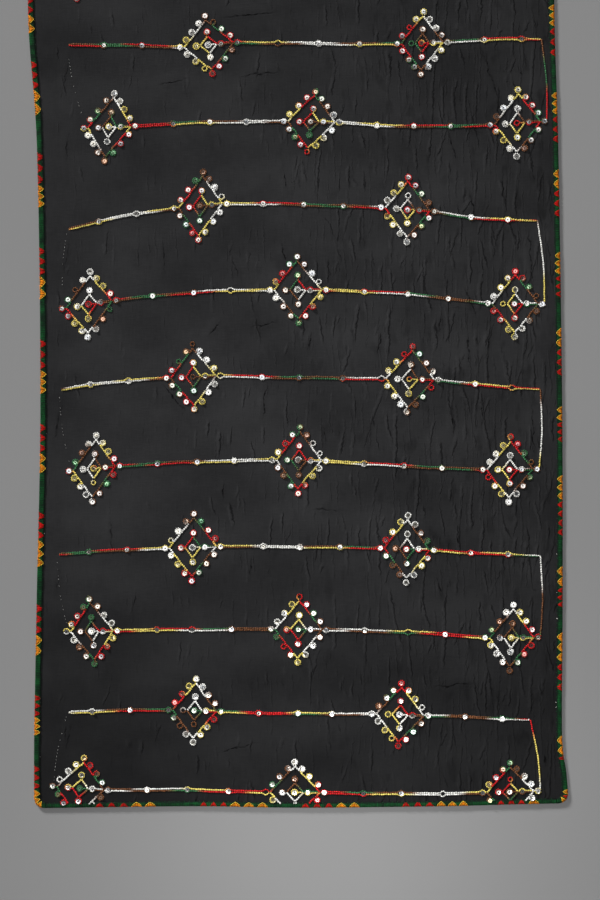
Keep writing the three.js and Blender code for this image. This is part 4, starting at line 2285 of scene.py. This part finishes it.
@dataclass(frozen=True)
class DiamondWork:
    """The measures of the work inside and around a diamond.

    Attributes:
        ring: The radius of a thread ring, at the middle of its chain.
        inset: From a corner sequin's middle to the thread's corner.
        inner: The size of the inner diamond, as a share of the outer one.
        side_spots: Where the sequins are along each side of the thread.
        bow: How far a side is bowed outwards at a sequin: the middle and the spread.
        sag: How far the thread is drawn in between two: the middle and the spread.
        side_gap: The thread of a ring lies this far outside its side.
        stem: Half the distance between the two stems to the inner diamond.
        middle_left: The middle ring lies this far to the left.
        strand: Half the distance between the two chains of a line.
        line_spacing: From one sequin of a line to the next, beyond the last diamond.
        bare: The share of rings that have lost their sequin.
        link_reach: How far a link reaches to both sides of its middle, as a share of the spacing.
        shortest: A stretch below this share of a link is left out.
        step: The distance between the points of a line.
        ring_points: The points of a whole ring.
        drawn_out: How much farther out a ring is where it meets its thread, as a share of its radius.
        sway: The small waves of a line.
        narrow: Over this length at its ends a line narrows to this share.
        thin: A tail narrows from this many ring radii past its last sequin, over this length, by this share.
        margin: No sequin is nearer to a free end.
        last_spacing: The spacing past the last diamond, as a share of the usual one.
        ringed: The distances from the middle where a chain takes the width of a ring's, in strands.
        slim: It takes a tail's width below the first distance, and fully this much below it, in strands.
        join_end: Where a joining chain ends, in ring radii right of and above the corner.
        join_bend: How far it bends to the right.
        join_knots: The knots of it, each at a share of its way and with a share of the bend.
    """

    ring: float = 0.0047
    sequin: float = 0.0042
    hole: float = 0.0013
    inset: float = 0.0070
    inner: float = 0.435
    side_spots: tuple[float, float, float] = (0.20, 0.50, 0.80)
    spot_stray: float = 0.012
    bow: tuple[float, float] = (0.0004, 0.0005)
    sag: tuple[float, float] = (0.0005, 0.0003)
    side_gap: float = 0.0008
    stem: float = 0.0011
    middle_left: float = 0.0012
    strand: float = 0.00130
    strands: tuple[float, float] = (0.88, 1.25)
    line_spacing: float = 0.0655
    line_spots: tuple[float, float, float] = (0.25, 0.50, 0.75)
    line_stray: float = 0.008
    bare: float = 0.07
    bare_rings: tuple[float, float] = (0.78, 0.95)
    rings: tuple[float, float] = (0.94, 1.04)
    ring_stray: float = 0.00030
    link_reach: float = 0.80
    link_stray: float = 0.00018
    shades: tuple[float, float] = (0.61, 1.06)
    shortest: float = 0.4
    step: float = 0.0008
    ring_points: int = 29
    drawn_out: float = 0.10
    sway: tuple[float, float] = (0.0007, 42)
    phases: tuple[float, float] = (0, 6.28)
    narrow: tuple[float, float] = (0.006, 0.35)
    thin: tuple[float, float, float] = (1.5, 0.008, 0.62)
    margin: float = 0.02
    last_spacing: float = 0.97
    ringed: tuple[float, float] = (1.3, 2.4)
    slim: tuple[float, float] = (0.9, 0.4)
    join_end: tuple[float, float] = (0.8, 0.5)
    join_bend: float = 0.004
    join_knots: tuple[tuple[float, float], ...] = ((0.0, 0.0), (0.05, 0.2), (0.55, 1.0))


class Stitches(NamedTuple):
    """A run of chain links: where each starts, where its middle is and where it ends, and its look."""

    tails: Array
    middles: Array
    heads: Array
    onward: Array
    width: Array
    colours: Array


class Line(NamedTuple):
    """The plan of a joining line: its points, and how far its two chains are from it at each."""

    points: Array
    offset: Array


class RowWorker:
    """Sews one row of the embroidery on the cloth, there and back again."""

    def __init__(
        self, number: int, row: EmbroideryRow, below: EmbroideryRow | None, cloth: ChiffonCloth
    ) -> None:
        """Prepare a row.

        Args:
            number: Its number from the near end.
            row: Its plan.
            below: The next row towards the near end, which its right end is joined to.
            cloth: What it is sewn on.
        """
        self.name = f"row_{number:02d}"
        self.row = row
        self.below = below
        self.cloth = cloth
        self.work = DiamondWork()
        self.chance = np.random.default_rng(100 + number)
        self.bobbin = Bobbin(float(self.chance.uniform(0, 0.37)), row.way)
        self.runs: list[Stitches] = []
        self.sequins: list[Array] = []
        self.glints: list[Array] = []

    def _corner(self, diamond: Diamond, corner: Corner, share: float = 1.0, inset: float = 0.0) -> Array:
        """Find a corner of a diamond.

        Args:
            diamond: The diamond.
            corner: Which corner.
            share: The size of the diamond that it is on, as a share of the whole.
            inset: How far towards the middle it is drawn in.

        Returns:
            Its place on the plan.
        """
        across, up = corner.value
        reach = np.array(
            [across * diamond.width + up * diamond.lean, up * diamond.height + across * diamond.slope]
        )
        middle = self.cloth.plan.place(diamond.across, diamond.along)
        return middle + reach * share - unit(reach) * inset

    def _knots(self, diamond: Diamond, *corners: Corner) -> list[Array]:
        """Find the corners of a diamond's thread.

        Args:
            diamond: The diamond.
            *corners: Which corners.

        Returns:
            Their places on the plan.
        """
        return [self._corner(diamond, corner, inset=self.work.inset) for corner in corners]

    def _chain(self, path: Array, chain: Chain, width: Array | None = None) -> None:
        """Sew a chain along a path.

        Args:
            path: The path on the plan.
            chain: The kind of chain.
            width: The width along the path, where it changes.
        """
        size, work, chance = chain.value, self.work, self.chance
        way = travelled(path)
        whole = float(way[-1])
        if whole < size.pitch * work.shortest:
            return
        count = max(1, round(whole / size.pitch))
        spots = (np.arange(count) + 0.5) * whole / count
        middles = places_at(path, spots)
        ahead = places_at(path, np.minimum(spots + work.step, whole))
        behind = places_at(path, np.maximum(spots - work.step, 0))
        widths = np.full(count, size.width) if width is None else np.interp(spots, way, width)
        stray = chance.normal(0, work.link_stray, middles.shape)
        colours = self.bobbin.sew(whole, count) * chance.uniform(*work.shades, (count, 1))
        reach = work.link_reach * whole / count
        tails = places_at(path, np.maximum(spots - reach, 0)) + stray
        heads = places_at(path, np.minimum(spots + reach, whole)) + stray
        self.runs.append(Stitches(tails, middles + stray, heads, unit(ahead - behind), widths, colours))

    def _loop(self, centre: Array, toward: Array, turn: int) -> None:
        """Sew a ring round a sequin, starting and ending where it meets its thread.

        Args:
            centre: The middle of the ring.
            toward: The direction from there to the thread.
            turn: 1 to sew it counterclockwise, -1 clockwise.
        """
        work, chance = self.work, self.chance
        centre = centre + chance.normal(0, work.ring_stray, 2)
        radius = work.ring * chance.uniform(*work.rings)
        bare = chance.random() < work.bare
        if bare:
            radius *= chance.uniform(*work.bare_rings)
        turns = np.linspace(0, 2 * math.pi, work.ring_points) * turn
        angles = math.atan2(toward[1], toward[0]) + turns
        drawn_out = 1 + work.drawn_out * np.cos(turns / 2) ** 4
        path = centre + np.column_stack([np.cos(angles), np.sin(angles)]) * (radius * drawn_out)[:, None]
        self._chain(path, Chain.RING)
        if not bare:
            self._keep_sequin(centre, self.runs[-1].colours.mean(axis=0))

    def _keep_sequin(self, centre: Array, beside: Array | None = None) -> None:
        """Note a sequin's place and the colour of the thread round it, which is painted into the sequin as a
        reflection.

        Args:
            centre: Its middle.
            beside: The colour of the thread round it, where that is all of one kind.
        """
        self.sequins.append(centre)
        self.glints.append(np.ones(3) if beside is None else beside / beside.max())

    def _side(self, start: Array, end: Array) -> None:
        """Sew a side of a diamond with the sequins that hang on its outer side, on the left of the way.

        Args:
            start: Where the side starts.
            end: Where it ends.
        """
        work, chance = self.work, self.chance
        way = end - start
        onward = unit(way)
        outward = np.array([-onward[1], onward[0]])
        bow = chance.normal(*work.bow)
        last = start
        for spot in work.side_spots:
            contact = start + way * (spot + chance.normal(0, work.spot_stray)) + outward * bow
            self._chain(self._sagging(last, contact, outward), Chain.SIDE)
            self._loop(contact + outward * (work.ring + work.side_gap), -outward, -1)
            last = contact
        self._chain(self._sagging(last, end, outward), Chain.SIDE)

    def _sagging(self, start: Array, end: Array, outward: Array) -> Array:
        """Draw a short stretch of thread that is drawn in a little between two fixed points.

        Args:
            start: Where it starts.
            end: Where it ends.
            outward: The direction out of the diamond.

        Returns:
            The stretch's points.
        """
        sag = self.chance.normal(*self.work.sag)
        return smooth_curve(np.array([start, (start + end) / 2 - outward * sag, end]), 8)

    def _half_diamond(self, diamond: Diamond, first: Corner, middle: Corner, last: Corner) -> None:
        """Sew two sides of a diamond with the ring at the corner between them.

        Args:
            diamond: The diamond.
            first: The corner where it starts.
            middle: The corner between the two sides.
            last: The corner where it ends.
        """
        start, knot, end = self._knots(diamond, first, middle, last)
        crest = self._corner(diamond, middle)
        self._side(start, knot)
        self._loop(crest, knot - crest, -1)
        self._side(knot, end)

    def _inner(self, diamond: Diamond) -> None:
        """Sew the inner diamond, its four sequins and the one in the middle, from the outer right corner.

        Args:
            diamond: The diamond round it.
        """
        work = self.work
        right = self._knots(diamond, Corner.RIGHT)[0]
        spots = {c: self._corner(diamond, c, work.inner) for c in Corner}
        knots = {c: self._corner(diamond, c, work.inner, work.inset) for c in Corner}
        hub, knot = spots[Corner.RIGHT], knots[Corner.RIGHT]
        outer = hub + unit(right - hub) * work.ring
        aside = unit(np.array([-(right - hub)[1], (right - hub)[0]])) * work.stem
        self._chain(np.array([right + aside, outer + aside]), Chain.STEM)
        self._half_ring(hub, outer, knot)
        last = knot
        for corner in (Corner.TOP, Corner.LEFT, Corner.BOTTOM):
            self._chain(np.array([last, knots[corner]]), Chain.SIDE)
            self._loop(spots[corner], knots[corner] - spots[corner], 1)
            last = knots[corner]
        self._chain(np.array([last, knot]), Chain.SIDE)
        middle = self.cloth.plan.place(diamond.across - work.middle_left, diamond.along)
        stem = middle + unit(knot - middle) * work.ring
        self._chain(np.array([knot, stem]), Chain.STEM)
        self._loop(middle, stem - middle, -1)
        self._half_ring(hub, knot, outer)
        self._chain(np.array([outer - aside, right - aside]), Chain.STEM)
        self._keep_sequin(hub)

    def _half_ring(self, centre: Array, start: Array, end: Array) -> None:
        """Sew half of a ring counterclockwise between two opposite points.

        Args:
            centre: The middle of the ring.
            start: Where the half starts.
            end: Where it ends.
        """
        first = math.atan2(*(start - centre)[::-1])
        angles = first + np.linspace(0, math.pi, self.work.ring_points // 2 + 1)
        arc = centre + np.column_stack([np.cos(angles), np.sin(angles)]) * self.work.ring
        self._chain(np.vstack([arc, end[None]]), Chain.RING)

    def _line(
        self, start: Array, end: Array, sequins: list[float], bow: float = 0.0, tail: bool = False
    ) -> Line:
        """Plan a line between two points, with its sequins.

        Args:
            start: Its left end.
            end: Its right end.
            sequins: How far along it each sequin is.
            bow: How far its middle lies above the straight line.
            tail: True where it narrows to a thin end past its last sequin.

        Returns:
            The line.
        """
        work, chance = self.work, self.chance
        whole = float(np.linalg.norm(end - start))
        way = np.linspace(0, whole, max(12, round(whole / work.step)))
        onward = unit(end - start)
        aside = np.array([-onward[1], onward[0]])
        belly = np.sin(math.pi * way / whole)
        sway = bow * belly + Ripple(*work.sway, chance.uniform(*work.phases)).at(way) * belly
        points = start + onward * way[:, None] + aside * sway[:, None]
        end_length, end_share = work.narrow
        ends = np.clip(np.minimum(way, whole - way) / end_length, end_share, 1)
        offset = work.strand * chance.uniform(*work.strands) * ends
        if tail:
            radii, length, share = work.thin
            thin = sequins[-1] + work.ring * radii
            offset *= 1 - share * smooth_step(way, thin, thin + length)
        for spot in sequins:
            offset = np.maximum(offset, np.sqrt(np.maximum(work.ring**2 - (way - spot) ** 2, 0)))
            if chance.random() >= work.bare:
                self._keep_sequin(places_at(points, np.array([spot]))[0])
        return Line(points, offset)

    def _lines(self) -> list[Line]:
        """Plan every line of the row, from left to right: one before, between and after the diamonds.

        Returns:
            The lines.
        """
        row, work = self.row, self.work
        inset, ring, margin = work.inset, work.ring, work.margin
        lefts = [self._knots(diamond, Corner.LEFT)[0] for diamond in row.diamonds]
        rights = [self._knots(diamond, Corner.RIGHT)[0] for diamond in row.diamonds]
        free = row.left_end is not None
        bows = list(row.bows) if free else [0.0, *row.bows, 0.0]
        if free:
            start = self.cloth.plan.place(*row.left_end)
            corner = float(np.linalg.norm(lefts[0] - start)) - inset
            spots = [corner - work.line_spacing * k for k in (2, 1, 0)]
            plans = [self._line(start, lefts[0], [spot for spot in spots if spot > margin], bows[0])]
        else:
            plans = [self._line(self._corner(row.diamonds[0], Corner.LEFT, inset=-ring), lefts[0], [ring])]
        for right, left, bow in zip(rights, lefts[1:], bows[1:]):
            whole = float(np.linalg.norm(left - right))
            inner = whole - 2 * inset
            stray = work.line_stray
            spots = [inset + inner * (spot + self.chance.normal(0, stray)) for spot in work.line_spots]
            plans.append(self._line(right, left, [inset, *spots, whole - inset], bow))
        if free:
            end = self.cloth.plan.place(*row.right_end)
            last = float(np.linalg.norm(end - rights[-1])) - margin
            spots = [inset + work.line_spacing * work.last_spacing * k for k in (0, 1, 2)]
            plans.append(self._line(rights[-1], end, [spot for spot in spots if spot < last], bows[-1], True))
        else:
            tip = self._corner(row.diamonds[-1], Corner.RIGHT, inset=-ring)
            plans.append(self._line(rights[-1], tip, [inset]))
        return plans

    def _strand(self, line: Line, upper: bool) -> None:
        """Sew one chain of a line: the upper one to the right, or the lower one back to the left.

        Args:
            line: The line.
            upper: True for the upper chain.
        """
        strand, slim, less = self.work.strand, *self.work.slim
        low, high = self.work.ringed
        onward = unit(np.gradient(line.points, axis=0))
        aside = np.column_stack([-onward[:, 1], onward[:, 0]]) * (1 if upper else -1)
        path = line.points + aside * line.offset[:, None]
        ringed = smooth_step(line.offset, strand * low, strand * high)
        slimmed = smooth_step(strand * slim - line.offset, 0, strand * less)
        width = Chain.LINE.value.width * (1 - ringed) + Chain.RING.value.width * ringed
        width = width * (1 - slimmed) + Chain.TAIL.value.width * slimmed
        self._chain(path if upper else path[::-1], Chain.LINE, width if upper else width[::-1])

    def _join(self) -> None:
        """Sew the single chain from the row's right end down to the last diamond of the row below."""
        if self.row.right_end is None or self.below is None:
            return
        if self.row.turn is not None:
            self.bobbin.used = self.row.turn
        place, work = self.cloth.plan.place, self.work
        target = self.below.diamonds[-1]
        start = place(*self.row.right_end)
        corner = place(target.across + target.width / 2, target.along + target.slope / 2)
        end = corner + np.array(work.join_end) * work.ring
        way, bend = end - start, np.array([work.join_bend, 0.0])
        knots = [start + way * share + bend * part for share, part in work.join_knots]
        self._chain(smooth_curve(np.array([*knots, end]), 24), Chain.JOIN)

    def sew(self) -> None:
        """Sew the whole row: one pass to the right, then one back to the left."""
        lines, diamonds = self._lines(), self.row.diamonds
        for line, diamond in zip(lines, diamonds):
            self._strand(line, True)
            self._half_diamond(diamond, Corner.LEFT, Corner.TOP, Corner.RIGHT)
        self._strand(lines[-1], True)
        self._join()
        for line, diamond in zip(lines[::-1], diamonds[::-1]):
            self._strand(line, False)
            self._inner(diamond)
            self._half_diamond(diamond, Corner.RIGHT, Corner.BOTTOM, Corner.LEFT)
        self._strand(lines[0], False)


@dataclass
class Embroidery:
    """All the rows of embroidery with their sequins.

    Attributes:
        cloth: What it is sewn on.
        thread: The material of the thread.
        sequin: The material of the sequins.
        hem: Work this near the outline is hidden under the braid or left out.
        on_braid: Work this near the outline lies on the braid.
        braid_top: How high the braid is.
        tilt: How far most sequins lean from level, in radians.
        loose: The share of them that sit loose, low inside their ring of thread.
        loose_tilt: How far those lean.
        most_tilt: The most that any leans.
        loose_size: The size of the loose ones, as a share of the others.
        on_ring: How high the others lie, on top of their ring.
        in_ring: How high a loose one lies.
        glint: How far most sequins take the colour of the thread round them, as a painted reflection.
        loose_glint: The same for the loose ones.
        shades: The faint warm and cold shades of the sequins.
        fat: A chain wider than this has rounder leaves.
        open: How far a leaf is to the side at its start, middle and end, as shares of the chain's width.
        leaf: Half a leaf's width and half its thickness, as shares of the same.
        leaf_lift: How high the leaves lie, as a share of the same, and how much higher.
        jump: The distance between two stitches of the jump thread, and how long each is.
        jump_shown: The share of them that shows on top.
        jump_size: Half the width and half the thickness of the thread.
        jump_lift: How high it lies.
        jump_shades: Its darkest and brightest stitch.
    """

    cloth: ChiffonCloth
    thread: Material
    sequin: Material
    hem: float = 0.0068
    on_braid: float = 0.0112
    braid_top: float = 0.0036
    tilt: float = 0.055
    loose: float = 0.48
    loose_tilt: float = 0.21
    most_tilt: float = 0.40
    loose_size: float = 0.86
    on_ring: float = 0.00125
    in_ring: float = 0.00055
    glint: float = 0.12
    loose_glint: float = 0.62
    shades: tuple[Colour, ...] = ((1.0, 0.98, 0.90), (1.0, 0.99, 0.95), (1.0, 1.0, 1.0), (0.90, 0.94, 1.0))
    fat: float = 0.0026
    open: tuple[float, float, float] = (0.07, 0.17, 0.27)
    leaf: tuple[float, float] = (0.36, 0.28)
    leaf_lift: tuple[float, float] = (0.20, 0.00012)
    jump: tuple[float, float] = (0.0058, 0.0030)
    jump_shown: float = 0.6
    jump_size: tuple[float, float] = (0.00040, 0.0003)
    jump_lift: float = 0.0003
    jump_shades: tuple[float, float] = (0.10, 0.50)

    def build(self) -> list[Piece]:
        """Sew every row and join it into two pieces, thread and sequins.

        Returns:
            The pieces.
        """
        rows = (*NEAR_ROWS, *FarRows().draw())
        self._slim, self._round = BeadShape.turned(4, 2), BeadShape.turned(5, 2)
        self._disc = self._sequin_shape()
        pieces = []
        for number, (below, row) in enumerate(zip((None, *rows), rows), start=1):
            worker = RowWorker(number, row, below, self.cloth)
            worker.sew()
            pieces += [self._thread_piece(worker), self._sequin_piece(worker)]
        return pieces

    def _ground(self, points: Array) -> tuple[Array, Array, Array]:
        """Find what work at each point rests on.

        Args:
            points: Places on the plan.

        Returns:
            The heights and normals there, and which of the points are clear of the hem.
        """
        inside = self.cloth.plan.inside(points)
        heights, normals = self.cloth.surface(points)
        clear = (inside > self.hem) & (heights > 0)
        over = inside < self.on_braid
        heights = np.where(over, self.braid_top, heights)
        normals = np.where(over[:, None], UP, normals)
        return heights, normals, clear

    def _links(self, work: BeadWork, run: Stitches) -> None:
        """Lay the two leaves of each chain link.

        Args:
            work: Collects them.
            run: The links.
        """
        heights, normals, clear = self._ground(run.middles)
        marks = [np.column_stack([spots, heights])[clear] for spots in (run.tails, run.middles, run.heads)]
        normals, width, colours = normals[clear], run.width[clear, None], run.colours[clear]
        onward = np.column_stack([run.onward, np.zeros(len(run.onward))])[clear]
        aside = unit(np.cross(normals, onward))
        share, more = self.leaf_lift
        lift = normals * (width * share + more)
        ups = np.stack([normals] * 3, axis=1)
        half, thick = (width[:, 0] * part for part in self.leaf)
        fat = width[:, 0] > self.fat
        for shape, chosen in ((self._round, fat), (self._slim, ~fat)):
            for turn in (-1, 1):
                path = [mark + lift + aside * width * (part * turn) for mark, part in zip(marks, self.open)]
                paths = np.stack(path, axis=1)[chosen]
                work.bend(shape, paths, ups[chosen], (half[chosen], thick[chosen]), colours[chosen])

    def _jump(self, work: BeadWork, worker: RowWorker) -> None:
        """Lay the fine white thread that jumps from the row's left end to the row below.

        Args:
            work: Collects the stitches.
            worker: The row.
        """
        if worker.row.left_end is None or worker.below is None:
            return
        plan, chance = self.cloth.plan, worker.chance
        target = worker.below.diamonds[0]
        start = plan.place(*worker.row.left_end) - [0.003, 0.004]
        end = plan.place(target.across - target.width / 2 + 0.002, target.along + 0.006)
        way = end - start
        knots = [start, start + way * 0.45 - [0.004, 0.0], start + way * 0.75 - [0.003, 0.0], end]
        path = smooth_curve(np.array(knots), 20)
        pitch, length = self.jump
        spots = np.arange(length, travelled(path)[-1] - length, pitch)
        spots = spots[chance.random(len(spots)) < self.jump_shown]
        ends, ups = [], []
        for places in (places_at(path, spots), places_at(path, spots + length)):
            heights, normals, _ = self._ground(places)
            ends.append(np.column_stack([places, heights + self.jump_lift]))
            ups.append(normals)
        white = ThreadColour.WHITE.value[0]
        tint = np.tile(white, (len(spots), 1)) * chance.uniform(*self.jump_shades, (len(spots), 1))
        paths, up = np.stack(ends, axis=1), np.stack([ups[0]] * 2, axis=1)
        work.bend(self._round, paths, up, self.jump_size, tint)

    def _thread_piece(self, worker: RowWorker) -> Piece:
        """Join a row's thread into one piece.

        Args:
            worker: The row.

        Returns:
            The thread.
        """
        work = BeadWork()
        for run in worker.runs:
            self._links(work, run)
        self._jump(work, worker)
        name = f"{worker.name}_thread"
        return place_piece(name, work.mesh(name, THREAD_COLOUR), self.thread)

    def _sequin_shape(self) -> tuple[Array, Array]:
        """Turn a sequin: a shallow cup with a hole in the middle.

        Returns:
            Its vertices, and the corners of each face.
        """
        radius, hole = DiamondWork().sequin, DiamondWork().hole
        profile = ((hole, -0.00012), (hole, 0.0), (radius * 0.66, 0.00003), (radius, 0.00016))
        work = bmesh.new()
        corners = [work.verts.new((x, 0.0, z)) for x, z in profile]
        edges = [work.edges.new(pair) for pair in zip(corners, [*corners[1:], corners[0]])]
        bmesh.ops.spin(
            work,
            geom=[*corners, *edges],
            cent=(0, 0, 0),
            axis=UP,
            dvec=(0, 0, 0),
            angle=2 * math.pi,
            steps=10,
            use_merge=True,
        )
        bmesh.ops.remove_doubles(work, verts=work.verts, dist=TINY)
        bmesh.ops.recalc_face_normals(work, faces=work.faces)
        return read_shape(work)

    def _sequin_piece(self, worker: RowWorker) -> Piece:
        """Join a row's sequins into one piece, each with a lean of its own.

        Args:
            worker: The row.

        Returns:
            The sequins.
        """
        points = np.array(worker.sequins)
        heights, normals, clear = self._ground(points)
        number = int(clear.sum())
        chance = worker.chance
        loose = chance.random((number, 1)) < self.loose
        lean = chance.normal(0, 1, (number, 2)) * np.where(loose, self.loose_tilt, self.tilt)
        lean *= np.minimum(1.0, self.most_tilt / np.linalg.norm(lean, axis=1, keepdims=True))
        size = np.where(loose, self.loose_size, 1.0)
        raised = np.linalg.norm(lean, axis=1, keepdims=True) * DiamondWork().sequin * size * loose
        lift = np.where(loose, self.in_ring, self.on_ring) + raised
        centres = np.column_stack([points[clear], heights[clear] + lift[:, 0]])
        up = unit(normals[clear] + np.column_stack([lean, np.zeros(number)]))
        spin = chance.uniform(0, 2 * math.pi, number)
        aside = unit(np.cross(up, np.column_stack([np.cos(spin), np.sin(spin), np.zeros(number)])))
        frames = np.stack([np.cross(aside, up), aside, up], axis=1) * size[:, None]
        shades = np.array(self.shades)[chance.integers(0, len(self.shades), number)]
        # Painted reflection: each sequin takes some of the colour of the thread round it, loose ones more.
        glint = np.where(loose, self.loose_glint, self.glint)
        shades = shades * (1 - glint + glint * np.array(worker.glints)[clear])
        work = BeadWork()
        work.stamp(*self._disc, centres, frames, shades)
        name = f"{worker.name}_sequins"
        return place_piece(name, work.mesh(name, SEQUIN_TINT_AND_REFLECTION), self.sequin, smooth=False)


# The studio.


class Lamp(NamedTuple):
    """A light: its name and kind, its power or strength, where it stands and the point that it faces."""

    name: str
    kind: str
    energy: float
    place: tuple[float, float, float]
    aim: tuple[float, float, float]


@dataclass(frozen=True)
class Studio:
    """A plain pale floor, soft light and the camera straight above the near part of the cloth.

    Attributes:
        middle: The point of the cloth in the middle of the picture.
        view_length: How much of the cloth's length the picture takes in.
        lens: The camera's focal length, in millimetres.
        film: The height of its film, in millimetres.
        room: The room's brightness, from its paler walls up to its ceiling.
        overhead: A large soft box, and its two sides.
        side: A low light at the far left, and the angle that it fills.
        pool: A pool of light by the near end, with the angle of its cone and the size of its source.
    """

    middle: tuple[float, float] = (0.0035, -0.5113)
    view_length: float = 1.5429
    lens: float = 85.0
    film: float = 36.0
    floor_size: float = 14.0
    floor_level: float = -0.0001
    room: tuple[float, float, float, float] = (0.05, 0.75, 0.42, 0.07)
    overhead: Lamp = Lamp("overhead_soft_box", "AREA", 98.0, (-0.10, -0.40, 4.7), (0.0, -0.45, 0.0))
    overhead_sides: tuple[float, float] = (2.7, 3.2)
    side: Lamp = Lamp("side_light", "SUN", 6.2, (-2.05, 3.05, 0.99), (0.0, 0.0, 0.0))
    side_angle: float = math.radians(8)
    pool: Lamp = Lamp("near_pool", "SPOT", 100.0, (0.05, -1.16, 2.3), (0.05, -1.15, 0.0))
    pool_angle: float = math.radians(23)
    pool_source: float = 0.25
    far_clip: float = 60.0

    def build(self) -> None:
        """Set out the floor, the lights and the camera."""
        self._floor()
        self._lights()
        self._camera()
        self._world()
        scene = bpy.context.scene
        scene.view_settings.view_transform = "Standard"
        scene.view_settings.look = "None"

    def _floor(self) -> None:
        """Lay the floor just under the cloth."""
        mesh, shares = unit_grid("studio_floor", 4, 4)
        flat = (shares - 0.5) * self.floor_size
        move_mesh(mesh, np.column_stack([flat, np.full(len(flat), self.floor_level)]))
        mesh.materials.append(FloorFinish().material("studio_floor"))
        floor = bpy.data.objects.new("studio_floor", mesh)
        bpy.context.scene.collection.objects.link(floor)

    def _light(self, lamp: Lamp) -> bpy.types.Light:
        """Add a light.

        Args:
            lamp: What it is like.

        Returns:
            The light's data, for settings of its own.
        """
        data = bpy.data.lights.new(lamp.name, lamp.kind)
        data.energy = lamp.energy
        made = bpy.data.objects.new(lamp.name, data)
        made.location = lamp.place
        made.rotation_euler = (Vector(lamp.aim) - Vector(lamp.place)).to_track_quat("-Z", "Y").to_euler()
        bpy.context.scene.collection.objects.link(made)
        return data

    def _lights(self) -> None:
        """Set the three lights."""
        overhead = self._light(self.overhead)
        overhead.shape = "RECTANGLE"
        overhead.size, overhead.size_y = self.overhead_sides
        self._light(self.side).angle = self.side_angle
        pool = self._light(self.pool)
        pool.spot_size = self.pool_angle
        pool.spot_blend = 1.0
        pool.shadow_soft_size = self.pool_source

    def _camera(self) -> None:
        """Hang the camera straight above the picture's middle."""
        data = bpy.data.cameras.new("camera")
        data.lens = self.lens
        data.sensor_fit = "VERTICAL"
        data.sensor_height = self.film
        data.clip_end = self.far_clip
        camera = bpy.data.objects.new("camera", data)
        camera.location = (*self.middle, self.view_length * self.lens / self.film)
        bpy.context.scene.collection.objects.link(camera)
        bpy.context.scene.camera = camera

    def _world(self) -> None:
        """Give the room a dim grey ceiling and paler walls."""
        world = bpy.data.worlds.new("studio_room")
        world.use_nodes = True
        tree = world.node_tree
        place = tree.nodes.new("ShaderNodeTexCoord")
        parts = tree.nodes.new("ShaderNodeSeparateXYZ")
        height = tree.nodes.new("ShaderNodeMapRange")
        tree.links.new(place.outputs["Generated"], parts.inputs[0])
        tree.links.new(parts.outputs["Z"], height.inputs["Value"])
        for key, value in zip(("From Min", "From Max", "To Min", "To Max"), self.room):
            height.inputs[key].default_value = value
        tree.links.new(height.outputs["Result"], tree.nodes["Background"].inputs["Strength"])
        tree.nodes["Background"].inputs["Color"].default_value = (1.0, 1.0, 1.0, 1.0)
        bpy.context.scene.world = world


def main() -> None:
    """Build the dupatta and its studio."""
    logging.basicConfig(level=logging.INFO, format="%(message)s")
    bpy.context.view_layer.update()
    plan = ClothPlan()
    chiffon = ChiffonFinish()
    thread = ThreadFinish().material("embroidery_thread")
    cloth = ChiffonCloth(plan, chiffon)
    panel = cloth.build()
    edge = TurnedEdge(plan, cloth, chiffon).build()
    matt = ThreadFinish(gloss=0.08, roughness=0.7).material("braid_thread")
    border = Border(plan, BraidFinish(), matt).build()
    sewn = Embroidery(cloth, thread, SequinFinish().material("silver_sequin")).build()
    Studio().build()


if __name__ == "__main__":
    main()
